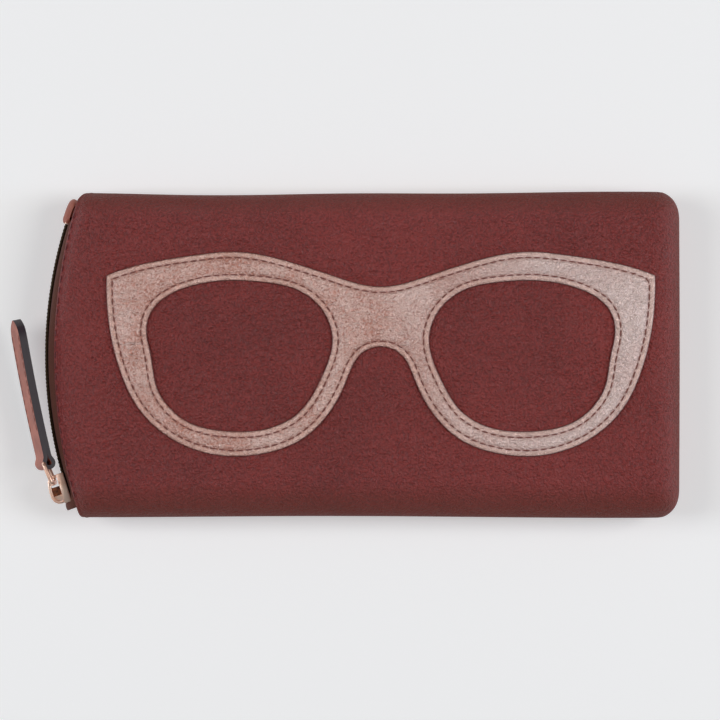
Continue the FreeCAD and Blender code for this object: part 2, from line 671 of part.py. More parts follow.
def stitched_line(wire, label):
    """Evenly spaced stitches on the applique, along a wire at its underside."""
    count = int(round(wire.Length / size("applique_stitch_pitch")))
    points = wire.discretize(Number=count + 1)
    lift = Vector(0, 0, size("spectacle_thickness"))
    bars = []
    for i in range(count):
        before = points[i]
        after = points[i + 1]
        bars.append(stitch((before + after) / 2 + lift, (after - before).normalize(), Vector(0, 0, 1)))
    group(bars, label)


def applique():
    """The cat-eye spectacle front in metallic leather, sewn flat onto the front panel."""
    outline, lenses = spectacle_wires()
    face = Part.Face(outline)
    for lens in lenses:
        face = face.cut(Part.Face(lens))
    feature = doc.addObject("Part::Feature", "spectacle_leather")
    feature.Shape = face.Faces[0].extrude(Vector(0, 0, size("spectacle_thickness")))
    feature.Placement = Placement()
    keep(feature, "spectacle_applique")
    inset = size("applique_stitch_inset")
    stitched_line(outline.makeOffset2D(-inset), "applique_outline_stitching")
    for lens, label in zip(lenses, ("left_lens_stitching", "right_lens_stitching")):
        stitched_line(lens.makeOffset2D(inset), label)


for side_name, is_front in (("front", True), ("back", False)):
    panel(side_name, is_front)
    zip_tape(side_name, is_front)
    zip_coil(side_name, is_front)
    top_stop(side_name, is_front)
    mouth_stitches(side_name, is_front)
zip_ends()
zip_slider()
slider_bridge()
pull_link()
pull_strap()
doc.recompute()
strap_stitches()
applique()
doc.recompute()

for item in doc.Objects:
    if "Invalid" in item.State or "Error" in item.State:
        raise RuntimeError(f"{item.Label} failed: {item.State}")
for piece in sub_parts:
    if piece.Shape.isNull() or not piece.Shape.isValid():
        raise RuntimeError(f"{piece.Label} has no valid shape")

os.makedirs("parts", exist_ok=True)
for piece in sub_parts:
    piece.Shape.exportStep(f"parts/{piece.Label}.step")
    box = piece.Shape.BoundBox
    print(f"{piece.Label:28s} {len(piece.Shape.Solids):4d} {piece.Shape.Volume:10.1f}"
          f"  x {box.XMin:7.2f} {box.XMax:7.2f}  y {box.YMin:7.2f} {box.YMax:7.2f}"
          f"  z {box.ZMin:7.2f} {box.ZMax:7.2f}")
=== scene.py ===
"""A zipped eyeglasses case of padded oxblood leather with a rose spectacle applique.

Run as a script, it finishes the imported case: every soft or sewn piece is modelled here in the frame of
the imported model, and the metal fittings, apart from the slider's bridge, are rounded copies of their own
solids.
"""

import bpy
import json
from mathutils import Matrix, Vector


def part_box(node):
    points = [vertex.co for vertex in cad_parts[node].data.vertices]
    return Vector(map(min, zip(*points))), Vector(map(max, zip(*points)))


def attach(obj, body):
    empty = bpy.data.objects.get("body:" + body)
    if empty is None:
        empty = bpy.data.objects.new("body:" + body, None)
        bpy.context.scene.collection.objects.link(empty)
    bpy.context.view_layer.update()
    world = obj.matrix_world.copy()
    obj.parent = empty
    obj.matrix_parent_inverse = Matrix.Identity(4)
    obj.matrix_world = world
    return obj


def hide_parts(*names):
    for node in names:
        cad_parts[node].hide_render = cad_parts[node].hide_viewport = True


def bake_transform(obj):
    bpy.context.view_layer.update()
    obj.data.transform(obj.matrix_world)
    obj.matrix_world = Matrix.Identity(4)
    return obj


bl_info = {
    "name": "Eyeglasses Case",
    "version": (1, 0, 0),
    "blender": (4, 5, 0),
    "location": "3D View > Sidebar > Eyeglasses Case",
    "description": "Models the leather, zip and stitching of an eyeglasses case",
    "category": "Object",
}

import json
import math

import bmesh
import bpy
import numpy as np
from bpy.props import FloatProperty, FloatVectorProperty, IntProperty, PointerProperty
from mathutils import Matrix, Vector, noise
from mathutils.bvhtree import BVHTree
from mathutils.kdtree import KDTree

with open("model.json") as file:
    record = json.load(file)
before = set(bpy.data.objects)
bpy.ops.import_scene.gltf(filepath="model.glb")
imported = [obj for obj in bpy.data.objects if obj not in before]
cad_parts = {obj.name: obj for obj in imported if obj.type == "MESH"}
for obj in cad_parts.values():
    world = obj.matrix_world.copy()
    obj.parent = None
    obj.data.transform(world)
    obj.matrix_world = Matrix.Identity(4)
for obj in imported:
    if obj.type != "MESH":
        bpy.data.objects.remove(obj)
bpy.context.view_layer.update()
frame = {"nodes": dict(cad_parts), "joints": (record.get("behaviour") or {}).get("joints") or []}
MM = 0.001


def reach(node):
    """A node's lowest and highest corners, in millimetres."""
    low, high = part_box(node)
    return low / MM, high / MM


PANEL_LOW, PANEL_HIGH = reach("front_panel")
HALF_WIDTH = PANEL_HIGH.y
CLOSED_END = PANEL_HIGH.x
MOUTH_END = PANEL_LOW.x
DEPTH = PANEL_HIGH.z
MID = DEPTH / 2
COIL_LOW, COIL_HIGH = reach("front_zip_coil")
SIDES = ((1, "front"), (-1, "back"))
MOUTH_STITCH_PITCH = 2.97


def tint(red, green, blue):
    """A display colour, 0 to 255 a channel, as the linear colour that a material takes."""
    shares = [c / 255 for c in (red, green, blue)]
    return tuple(c / 12.92 if c <= 0.04045 else ((c + 0.055) / 1.055) ** 2.4 for c in shares)


def length(name, value, description):
    """A size in millimetres, kept as a length in metres."""
    return FloatProperty(name=name, description=description, default=value * MM, unit="LENGTH", precision=5)


def hue(name, value, description):
    """A colour that a user may change."""
    return FloatVectorProperty(name=name, description=description, default=tint(*value), subtype="COLOR",
                               min=0, max=1)


class CaseSizes(bpy.types.PropertyGroup):
    """Sizes that shape the soft pieces."""

    fold_radius: length("Mouth bow", 150, "Radius of the folded leather edge at the mouth")
    roll: length("Side roll", 8.6, "How far in from a sewn side the face starts to roll off")
    crown: length("Crown", 1.5, "How far the filling pushes out the middle of the front")
    leather: length("Leather", 0.9, "Thickness of the outer leather")
    foam: length("Foam", 2.0, "Thickness of the padding")
    cloth: length("Lining", 0.5, "Thickness of the lining cloth")
    zip_radius: length("Zip bow", 123.2, "Radius of the zip's outer line")
    coil_pitch: length("Coil pitch", 1.08, "From one turn of a zip coil to the next")
    stitch_width: length("Thread", 0.42, "Thickness of the sewing thread")
    strap_tilt: FloatProperty(name="Strap tilt", description="How far the pull strap lies over on its side",
                              default=math.radians(17.5), subtype="ANGLE")


class CaseColours(bpy.types.PropertyGroup):
    """Colours of the finishes."""

    oxblood: hue("Oxblood leather", (158, 60, 56), "Main leather")
    oxblood_deep: hue("Oxblood shade", (114, 42, 39), "Hollows of the main leather's grain")
    # Partly burnished leather, partly painted shade where the faces roll away from the light towards the sewn
    # edges.
    burnish_and_shade: hue("Burnished leather", (112, 38, 16), "Main leather along its sewn edges")
    rose: hue("Rose leather", (255, 220, 208), "Metallic leather of the spectacle applique")
    rose_deep: hue("Rose shade", (208, 136, 116), "Hollows of the metallic leather")
    # The rose metallic leather painted darker, as painted shade on the strap's turned face and on the end
    # tab.
    rose_in_shade: hue("Strap leather", (190, 112, 92), "Face of the pull strap")
    edge_paint: hue("Edge paint", (56, 40, 52), "Painted edges of the pull strap")
    foam: hue("Foam", (214, 206, 190), "Padding between leather and lining")
    lining: hue("Lining", (92, 62, 56), "Woven lining")
    tape: hue("Zip tape", (122, 70, 54), "Woven tape of the zip")
    coil: hue("Zip coil", (84, 66, 46), "Nylon coils of the zip")
    metal: hue("Rose gold", (255, 226, 208), "Plated metal fittings")
    dark_thread: hue("Burgundy thread", (116, 42, 46), "Stitches along the mouth")
    light_thread: hue("Rose thread", (150, 88, 74), "Stitches on the applique and the strap")
    floor: hue("Floor", (228, 228, 228), "Plain floor under the case")


class StudioSettings(bpy.types.PropertyGroup):
    """Camera and lights."""

    camera_height: FloatProperty(name="Camera height", description="Camera above the floor", default=1.2,
                                 unit="LENGTH")
    view_width: FloatProperty(name="View width", description="Width that the camera sees at the case",
                              default=0.2016, unit="LENGTH")
    high: FloatProperty(name="High lights", description="Power of the two soft lights above", default=10.5,
                        subtype="POWER")
    left: FloatProperty(name="Left light", description="Power of the light on the mouth's side", default=1.9,
                        subtype="POWER")
    right: FloatProperty(name="Right light", description="Power of the light on the closed side", default=2.0,
                         subtype="POWER")
    ambient: FloatProperty(name="Ambient", description="Strength of the even light all round", default=0.12)
    swell_frames: IntProperty(name="Swell frames", description="Steps of the filling's simulation",
                              default=20)


def sizes():
    return bpy.context.scene.case_sizes


def colours():
    return bpy.context.scene.case_colours


def studio():
    return bpy.context.scene.case_studio


# ---------------------------------------------------------------------------------- materials

class Value:
    """A node's output that joins in arithmetic: each operator adds the Math node that it stands for."""

    def __init__(self, finish, socket):
        self.finish = finish
        self.socket = socket

    def math(self, operation, first, second=0.0):
        return self.finish.add("ShaderNodeMath", {"operation": operation}, {0: first, 1: second})

    def __add__(self, other):
        return self.math("ADD", self, other)

    __radd__ = __add__

    def __sub__(self, other):
        return self.math("SUBTRACT", self, other)

    def __rsub__(self, other):
        return self.math("SUBTRACT", other, self)

    def __mul__(self, other):
        return self.math("MULTIPLY", self, other)

    __rmul__ = __mul__

    def __abs__(self):
        return self.math("ABSOLUTE", self)

    def sine(self):
        return self.math("SINE", self)

    def ramp(self, low, high):
        """0 at low and below, 1 at high and above, smooth between."""
        return self.finish.add("ShaderNodeMapRange", {"interpolation_type": "SMOOTHSTEP"},
                               {0: self, 1: low, 2: high, 3: 0.0, 4: 1.0})


class Finish:
    """A material in the making."""

    def __init__(self, name):
        self.material = bpy.data.materials.new(f"{name}_finish")
        self.material.use_nodes = True
        self.tree = self.material.node_tree
        self.shader = self.tree.nodes["Principled BSDF"]
        self.here = self.add("ShaderNodeTexCoord", {}, {}, "Object")

    def add(self, kind, settings, sockets, output=0):
        """A node of one kind, with its settings made first and then its sockets filled or linked."""
        node = self.tree.nodes.new(kind)
        for name, value in settings.items():
            setattr(node, name, value)
        for key, value in sockets.items():
            if isinstance(value, Value):
                self.tree.links.new(value.socket, node.inputs[key])
            else:
                node.inputs[key].default_value = value
        return Value(self, node.outputs[output])

    def part(self, axis):
        return self.add("ShaderNodeSeparateXYZ", {}, {0: self.here}, axis)

    def trait(self, name):
        """A number kept on the mesh's points."""
        return self.add("ShaderNodeAttribute", {"attribute_type": "GEOMETRY", "attribute_name": name}, {},
                        "Fac")

    def stretch(self, scale, turn=(0, 0, 0)):
        return self.add("ShaderNodeMapping", {}, {"Vector": self.here, "Scale": scale, "Rotation": turn})

    def cloud(self, scale, detail=3.0, rough=0.55, place=None, bend=0.0):
        return self.add("ShaderNodeTexNoise", {}, {"Vector": place or self.here, "Scale": scale,
                                                   "Detail": detail, "Roughness": rough,
                                                   "Distortion": bend}, "Fac")

    def cells(self, scale, place=None):
        return self.add("ShaderNodeTexVoronoi", {"feature": "F1"},
                        {"Vector": place or self.here, "Scale": scale, "Randomness": 1.0}, "Distance")

    def blend(self, share, first, second):
        def whole(c):
            return c if isinstance(c, Value) else (*c, 1.0)
        return self.add("ShaderNodeMix", {"data_type": "RGBA", "blend_type": "MIX"},
                        {0: share, 6: whole(first), 7: whole(second)}, 2)

    def bump(self, height, depth, under=None):
        """A relief of that depth in millimetres, over another one if given."""
        sockets = {"Height": height, "Distance": depth * MM, "Strength": 1.0}
        if under is not None:
            sockets["Normal"] = under
        return self.add("ShaderNodeBump", {}, sockets, "Normal")

    def done(self, **sockets):
        """Fills the shader's own sockets, named with _ for each space."""
        for key, value in sockets.items():
            target = self.shader.inputs[key.replace("_", " ")]
            if isinstance(value, Value):
                self.tree.links.new(value.socket, target)
            elif target.type == "RGBA":
                target.default_value = (*value, 1.0)
            else:
                target.default_value = value
        return self.material


def grain(finish, size):
    """The fine pebbled grain of soft leather: small rounded grains of that size in millimetres, drawn
    together into slightly larger ones."""
    drift = 0.8 * MM
    wander = finish.add("ShaderNodeVectorMath", {"operation": "MULTIPLY_ADD"},
                        {0: finish.add("ShaderNodeTexNoise", {}, {"Vector": finish.here, "Scale": 700.0,
                                                                  "Detail": 1.0}, "Color"),
                         1: (drift, drift, drift), 2: finish.here})
    pebbles = 1 - finish.cells(1000 / size, wander)
    return pebbles * 0.35 + finish.cloud(1000 / size, 2.0, 0.6, place=wander) * 0.85


def long_creases(finish, scale, turn):
    """Thin wandering lines, as leather shows where it has been flexed."""
    ridge = abs(finish.cloud(1.0, 3.0, 0.5, finish.stretch(scale, turn), 0.6) - 0.5)
    return 1 - ridge.ramp(0.0, 0.018)


def main_leather():
    f = Finish("oxblood_leather")
    c = colours()
    relief = grain(f, 0.66)
    creases = long_creases(f, (60, 210, 60), (0, 0, 0.6)) * f.cloud(38.0, 1.0).ramp(0.55, 0.75)
    from_fold = f.trait("from_fold")
    along = f.trait("along_fold")
    puckers = (along * (2 * math.pi / MOUTH_STITCH_PITCH)).sine()
    ripples = puckers * 0.25 + f.cloud(420.0, 2.0, place=f.stretch((0.3, 1, 1))) * 1.9
    pleats = ripples * (1 - abs(from_fold - 3.2).ramp(0.4, 3.4)) * f.cloud(45.0, 1.0).ramp(0.34, 0.58)
    patches = f.cloud(26.0, 3.0)
    tone = f.blend((patches * 0.45 + relief * 0.55).ramp(0.3, 0.74), c.oxblood_deep, c.oxblood)
    tone = f.blend((1 - relief.ramp(0.34, 0.76)) * 0.5, tone, c.oxblood_deep)
    tone = f.blend(creases * 0.14, tone, tint(150, 88, 80))
    # Painted shade, partly also burnished leather: darker towards the sewn sides and the closed end, where
    # the face rolls away from the light.
    wear_and_shade = f.trait("near_seam")
    tone = f.blend(wear_and_shade * 0.85, tone, c.burnish_and_shade)
    soft = f.bump(patches, 1.1)
    folds = f.bump(pleats, 0.2, under=soft)
    lines = f.bump(creases, 0.05, under=folds)
    return f.done(Base_Color=tone, Roughness=0.36 + relief * 0.14 + wear_and_shade * 0.26, Specular_IOR_Level=0.5,
                  Normal=f.bump(relief, 0.85, under=lines))


def rose_leather():
    f = Finish("rose_leather")
    c = colours()
    relief = grain(f, 0.6)
    creases = long_creases(f, (55, 240, 60), (0, 0, 0.75)) * f.cloud(40.0, 1.0).ramp(0.5, 0.7)
    foil = f.cloud(70.0, 4.0, 0.65)
    edge = f.trait("from_edge")
    groove = 1 - abs(edge - 1.75).ramp(0.1, 0.5)
    rim = 1 - abs(edge - 0.85).ramp(0.25, 0.6)
    tone = f.blend((foil * 0.45 + relief * 0.55).ramp(0.34, 0.72), c.rose_deep, c.rose)
    tone = f.blend(creases * 0.5, tone, tint(246, 220, 212))
    # Painted highlight: paler towards the closed end, on the side of the right-hand light.
    tone = f.blend(f.part("X").ramp(-0.01, 0.06) * 0.55, tone, tint(255, 236, 230))
    # Painted highlight along the rolled rim.
    tone = f.blend(rim * 0.5, tone, tint(255, 208, 190))
    # Painted shade darkens the stitch groove.
    tone = f.blend(groove * 0.34, tone, tint(170, 104, 88))
    tone = f.blend(1 - edge.ramp(0.05, 0.35), tone, tint(120, 66, 56))
    lines = f.bump(creases, 0.09, under=f.bump(foil, 0.35))
    return f.done(Base_Color=tone, Metallic=0.45, Roughness=0.34 + relief * 0.16, Specular_IOR_Level=0.6,
                  Coat_Weight=0.25, Coat_Roughness=0.38, Normal=f.bump(relief, 0.7, under=lines))


def strap_leather():
    f = Finish("strap_leather")
    c = colours()
    relief = grain(f, 0.6)
    wear = f.cloud(180.0, 4.0)
    # Painted shade: the strap and the end tab take the rose metallic leather as a darker, duller copy.
    tone = f.blend(wear.ramp(0.35, 0.7), tint(160, 84, 66), c.rose_in_shade)
    return f.done(Base_Color=tone, Metallic=0.15, Roughness=0.42 + wear * 0.12, Normal=f.bump(relief, 0.05))


def edge_paint():
    f = Finish("edge_paint")
    streaks = f.cloud(900.0, 3.0, place=f.stretch((1, 0.25, 1)))
    tone = f.blend(streaks, tint(30, 22, 26), colours().edge_paint)
    return f.done(Base_Color=tone, Roughness=0.42 + streaks * 0.2, Coat_Weight=0.1, Coat_Roughness=0.4,
                  Normal=f.bump(streaks, 0.06))


def weave(first, second, spacing):
    """Threads of that spacing in millimetres, over and under along two lines of the cloth."""
    turn = 2 * math.pi / spacing
    along = (first * turn).sine()
    across = (second * turn).sine()
    return along * across * 0.5 + 0.5


def lining_cloth():
    f = Finish("lining_cloth")
    threads = weave(f.part("X") * 1000, f.part("Y") * 1000, 0.9)
    slub = f.cloud(500.0, 3.0, place=f.stretch((0.15, 1, 1)))
    tone = f.blend(threads * 0.5 + slub * 0.5, tint(70, 44, 40), colours().lining)
    return f.done(Base_Color=tone, Roughness=0.9, Sheen_Weight=0.2, Normal=f.bump(threads + slub * 0.4, 0.12))


def foam_finish():
    f = Finish("foam")
    pores = f.cells(1500.0)
    tone = f.blend(pores.ramp(0.1, 0.5), colours().foam, tint(180, 170, 150))
    return f.done(Base_Color=tone, Roughness=0.95, Normal=f.bump(pores, 0.2))


def tape_finish():
    f = Finish("zip_tape")
    threads = weave(f.part("Y") * 1000 + f.part("Z") * 600, f.part("Z") * 1000 - f.part("Y") * 300, 0.55)
    tone = f.blend(threads * 0.6 + f.cloud(700.0) * 0.4, tint(82, 44, 34), colours().tape)
    return f.done(Base_Color=tone, Roughness=0.85, Sheen_Weight=0.15, Normal=f.bump(threads, 0.08))


def coil_finish():
    f = Finish("zip_coil")
    haze = f.cloud(1400.0, 2.0)
    tone = f.blend(haze, tint(46, 34, 24), colours().coil)
    return f.done(Base_Color=tone, Roughness=0.6 + haze * 0.2, Specular_IOR_Level=0.15,
                  Normal=f.bump(haze, 0.02))


def metal_finish():
    f = Finish("rose_gold")
    brushed = f.cloud(1600.0, 3.0, place=f.stretch((1, 0.2, 1)))
    wear_and_shade = f.cloud(260.0, 3.0)
    tone = f.blend(wear_and_shade.ramp(0.35, 0.7), tint(250, 202, 178), colours().metal)
    return f.done(Base_Color=tone, Metallic=0.85, Roughness=0.28 + brushed * 0.14,
                  Normal=f.bump(brushed, 0.008))


def shaded_metal():
    f = Finish("shaded_metal")
    # Painted shade: the finish of a dark sheet under the slider's bridge arch, where there is only shadow.
    mottle = f.cloud(700.0, 3.0)
    tone = f.blend(mottle.ramp(0.3, 0.7), tint(74, 40, 24), tint(150, 88, 56))
    return f.done(Base_Color=tone, Metallic=0.6, Roughness=0.42 + mottle * 0.2, Normal=f.bump(mottle, 0.03))


def thread_finish(name, colour, dark):
    f = Finish(name)
    twist = (f.part("X") * 6500 + f.part("Y") * 6500 + f.part("Z") * 3000).sine() * 0.5 + 0.5
    fuzz = f.cloud(2400.0, 2.0)
    tone = f.blend(twist * 0.5 + fuzz * 0.5, dark, colour)
    return f.done(Base_Color=tone, Roughness=0.6, Sheen_Weight=0.2, Normal=f.bump(twist + fuzz * 0.3, 0.05))


def floor_finish():
    f = Finish("floor")
    haze = f.cloud(6.0, 2.0)
    tone = f.blend(haze * 0.1, colours().floor, tint(224, 224, 224))
    return f.done(Base_Color=tone, Roughness=0.9, Specular_IOR_Level=0.1,
                  Emission_Color=(1, 1, 1), Emission_Strength=0.34)


FINISHES = {
    "oxblood_leather": main_leather,
    "rose_leather": rose_leather,
    "strap_leather": strap_leather,
    "edge_paint": edge_paint,
    "lining_cloth": lining_cloth,
    "foam": foam_finish,
    "zip_tape": tape_finish,
    "zip_coil": coil_finish,
    "rose_gold": metal_finish,
    "shaded_metal": shaded_metal,
    "burgundy_thread": lambda: thread_finish("burgundy_thread", colours().dark_thread, tint(76, 26, 30)),
    "rose_thread": lambda: thread_finish("rose_thread", colours().light_thread, tint(116, 64, 54)),
    "floor": floor_finish,
}


def material(name):
    """The material of that name, made when it is first asked for."""
    return bpy.data.materials.get(f"{name}_finish") or FINISHES[name]()


# ------------------------------------------------------------------------------------- pieces

def linked(name, data):
    """A new object in the scene."""
    obj = bpy.data.objects.new(name, data)
    bpy.context.scene.collection.objects.link(obj)
    return obj


def resize(bm, factor):
    """Scales a bmesh about the origin."""
    bmesh.ops.scale(bm, vec=(factor, factor, factor), verts=bm.verts)


def piece(name, bm, finish):
    """An object at the origin from a bmesh in millimetres."""
    resize(bm, MM)
    mesh = bpy.data.meshes.new(name)
    bm.to_mesh(mesh)
    bm.free()
    for face in mesh.polygons:
        face.use_smooth = True
    obj = linked(name, mesh)
    obj.data.materials.append(material(finish))
    return obj


def settle(obj):
    """Applies the piece's modifiers to its mesh."""
    graph = bpy.context.evaluated_depsgraph_get()
    mesh = bpy.data.meshes.new_from_object(obj.evaluated_get(graph), preserve_all_data_layers=True,
                                           depsgraph=graph)
    obj.modifiers.clear()
    old = obj.data
    obj.data = mesh
    bpy.data.meshes.remove(old)
    return obj


def thicken(obj, thickness, offset=-1.0, rim=0):
    """Gives a sheet its thickness in millimetres."""
    wall = obj.modifiers.new("wall", "SOLIDIFY")
    wall.thickness = thickness * MM
    wall.offset = offset
    wall.use_even_offset = False
    wall.material_offset_rim = rim
    return settle(obj)


def soften(obj):
    """A live subdivision, for a smooth surface."""
    smooth = obj.modifiers.new("smooth", "SUBSURF")
    smooth.levels = 1
    smooth.render_levels = 1
    return obj


def chamfer(obj, width, segments=2, angle=32):
    """Rounds the piece's hard edges by that many millimetres."""
    edge = obj.modifiers.new("edges", "BEVEL")
    edge.width = width * MM
    edge.segments = segments
    edge.limit_method = "ANGLE"
    edge.angle_limit = math.radians(angle)
    edge.harden_normals = False
    return settle(obj)


def solid_copy(node):
    """A node's own mesh in a bmesh, in millimetres, with its loose triangles joined."""
    bm = bmesh.new()
    bm.from_mesh(frame["nodes"][node].data)
    resize(bm, 1 / MM)
    bmesh.ops.remove_doubles(bm, verts=bm.verts, dist=0.002)
    return bm


def stands_for(obj, *nodes):
    """The piece replaces those nodes."""
    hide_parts(*nodes)
    return obj


ON_PLANE = 1e-7


def with_front(obj):
    """Cuts a front piece into its two halves across the case at mid width, bakes each in place and joins them
    again at the cut."""
    name = obj.name
    halves = []
    for side in (1, -1):
        bm = bmesh.new()
        bm.from_mesh(obj.data)
        bmesh.ops.bisect_plane(bm, geom=bm.verts[:] + bm.edges[:] + bm.faces[:], dist=ON_PLANE,
                               plane_co=(0, 0, 0), plane_no=(0, -side, 0), clear_outer=True,
                               clear_inner=False)
        if not bm.faces:
            bm.free()
            continue
        mesh = obj.data.copy()
        bm.to_mesh(mesh)
        bm.free()
        half = linked(name, mesh)
        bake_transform(half)
        halves.append(half)
    keep = halves[0]
    for key in obj.keys():
        keep[key] = obj[key]
    old = obj.data
    bpy.data.objects.remove(obj)
    bpy.data.meshes.remove(old)
    if len(halves) == 2:
        bpy.ops.object.select_all(action="DESELECT")
        for half in halves:
            half.select_set(True)
        bpy.context.view_layer.objects.active = keep
        bpy.ops.object.join()
        bm = bmesh.new()
        bm.from_mesh(keep.data)
        bmesh.ops.remove_doubles(bm, verts=[v for v in bm.verts if abs(v.co.y) < ON_PLANE], dist=1e-6)
        bm.to_mesh(keep.data)
        bm.free()
    keep.name = name
    return keep


def settle_body(obj, side):
    """A piece of the front is cut and joined again at mid width, and one of the back is tied to the root."""
    if side > 0:
        return with_front(obj)
    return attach(obj, "root")


# --------------------------------------------------------------------------------- case's form

CORNER_POWER = 2.4
FOLD_SETBACK = 0.55
TAB_CORNER = 3.2
SLIDER_CORNER = 1.6
LIP_HEIGHT = 5.75
LIP_RISE = 5.2


def near_side(y, width, inset=0.0):
    """From 0 to 1 over the last stretch of that width before a sewn side."""
    return np.clip(1 - (HALF_WIDTH - inset - np.abs(y)) / width, 0, 1)


def near_end(x, width, inset=0.0):
    """From 0 to 1 over the last stretch of that width before the closed end."""
    return np.clip(1 - (CLOSED_END - inset - x) / width, 0, 1)


def fold_x(y):
    """Where the folded edge at the mouth is, at a place across the case."""
    radius = sizes().fold_radius / MM
    x = MOUTH_END + FOLD_SETBACK + radius - np.sqrt(radius ** 2 - y ** 2)
    corner = np.where(y > 0, TAB_CORNER, SLIDER_CORNER)
    over = np.clip(np.abs(y) - (HALF_WIDTH - corner), 0, corner * 0.999)
    return x + corner - np.sqrt(corner ** 2 - over ** 2)


def closed_x(y, inset):
    """Where the closed end is, at a place across the case."""
    roll = sizes().roll / MM
    share = near_side(y, roll, inset)
    return CLOSED_END - inset - roll * (1 - (1 - share ** CORNER_POWER) ** (1 / CORNER_POWER))


def roll_off(x, y, inset):
    """Share of the full height that the roll at the three sewn sides leaves."""
    roll = sizes().roll / MM
    end = near_end(x, roll, inset)
    side = near_side(y, roll, inset)
    t = (end ** CORNER_POWER + side ** CORNER_POWER) ** (1 / CORNER_POWER)
    return np.sqrt(np.clip(1 - t ** 2, 0, 1))


def gape(y):
    """Share of the mouth's height that is left close to its two ends."""
    return np.sqrt(np.clip(1 - near_side(y, 5.0) ** 3, 0, 1))


FOLD = [(8.0, 4.35), (5.0, 4.3), (3.0, 4.25), (1.7, 4.2), (0.8, 4.25), (0.25, 4.5), (0.0, 5.0), (0.2, 5.55),
        (0.6, 5.9), (1.1, 6.05)]
FACE = [1.6, 2.1, 2.7, 3.4, 4.3, 5.4, 6.8, 8.4, 10.2, 12.2, 14.4, 16.8, 19.4, 22.2]


def face_height(from_fold):
    """Height of the leather above the seam plane, going in from the folded edge."""
    base = LIP_HEIGHT + (DEPTH / 2 - LIP_HEIGHT) * (1 - np.exp(-from_fold / LIP_RISE))
    return base - 0.3 * np.exp(-((from_fold - 1.7) / 0.7) ** 2)


def rows(count):
    """Places across the case from -1 to 1, closer together at its sides."""
    s = np.linspace(-1, 1, count)
    return 0.45 * s + 0.55 * np.sin(s * math.pi / 2)


def grid_piece(across, along, place):
    """A grid with across by along points, each moved by place(column, row) arrays, in millimetres."""
    bm = bmesh.new()
    bmesh.ops.create_grid(bm, x_segments=along - 1, y_segments=across - 1, size=1)
    at = np.array([v.co for v in bm.verts])
    column = np.rint((at[:, 0] + 1) / 2 * (along - 1)).astype(int)
    row = np.rint((at[:, 1] + 1) / 2 * (across - 1)).astype(int)
    moved = place(column, row)
    for vert, spot in zip(bm.verts, moved):
        vert.co = spot
    return bm, column, row


PANEL_ROWS = 97
PANEL_FAR = 74


def panel_points(column, row):
    """The outer leather's surface for grid columns and rows, with height measured from the seam plane."""
    y = rows(PANEL_ROWS)[row] * HALF_WIDTH
    start = fold_x(y)
    end = closed_x(y, 0)
    near = len(FOLD) + len(FACE)
    fold_in = np.array([p[0] for p in FOLD] + FACE + [0.0] * PANEL_FAR)
    share = np.concatenate([np.zeros(near), 1 - (1 - np.linspace(0, 1, PANEL_FAR + 1)[1:]) ** 1.45])
    last = FACE[-1]
    x = np.where(column < near, start + fold_in[column],
                 start + last + (end - start - last) * share[column])
    x = np.minimum(x, end)
    from_fold = x - start
    height = face_height(from_fold)
    for k, (_, h) in enumerate(FOLD):
        height = np.where(column == k, h, height)
    mouth = np.clip(1 - from_fold / 14.0, 0, 1)
    share = roll_off(x, y, 0) * (1 - mouth) + gape(y) * roll_off(x, y, 0) ** 0.45 * mouth
    height = height * share
    hem = np.clip(1 - column / 6, 0, 1)
    return x, y * (1 - 0.04 * hem), height, from_fold


def edge_wave(x, y):
    """How the sewn sides wander: pinched at mid length, full at the corners."""
    top = 0.25 - 1.1 * np.exp(-((x + 40) / 34) ** 2) - 0.6 * np.exp(-((x - 25) / 30) ** 2)
    bottom = 0.15 - 0.7 * np.exp(-((x + 10) / 55) ** 2)
    return np.where(y > 0, top, bottom) * (np.abs(y) / HALF_WIDTH) ** 3 * np.sign(y)


def seam_pinch(x, y, height):
    """Draws the two leathers in where they meet in the turned seam."""
    depth = 0.55 * np.exp(-(height / 0.75) ** 2)
    end = near_end(x, 10)
    side = near_side(y, 10)
    size = np.sqrt(end ** 2 + side ** 2) + 1e-6
    return x - depth * end / size, y - depth * side / size * np.sign(y)


def panel_sheet(side):
    """The outer leather of one side before it is filled: its bmesh and the place of each point."""
    along = len(FOLD) + len(FACE) + PANEL_FAR
    kept = {}

    def place(column, row):
        x, y, height, from_fold = panel_points(column, row)
        x, y = seam_pinch(x, y, height)
        y = y + edge_wave(x, y)
        kept["from_fold"] = from_fold
        kept["along_fold"] = y
        # Share of painted shade along the rolled sewn edges, partly also burnished leather: wider along the
        # lower side than the upper one, and over the last 3 mm before the closed end.
        side_seam = near_side(y, np.where(y > 0, 6.5, 10.0)) ** 0.8
        kept["near_seam"] = np.maximum(side_seam, near_end(x, 3.0))
        z = MID + side * np.maximum(height, 0.06)
        return np.stack([x, y, z], 1)

    bm, column, row = grid_piece(PANEL_ROWS, along, place)
    if side < 0:
        bmesh.ops.reverse_faces(bm, faces=bm.faces)
    kept["held"] = (row == 0) | (row == PANEL_ROWS - 1) | (column <= len(FOLD) + 1) | (column == along - 1)
    return bm, kept


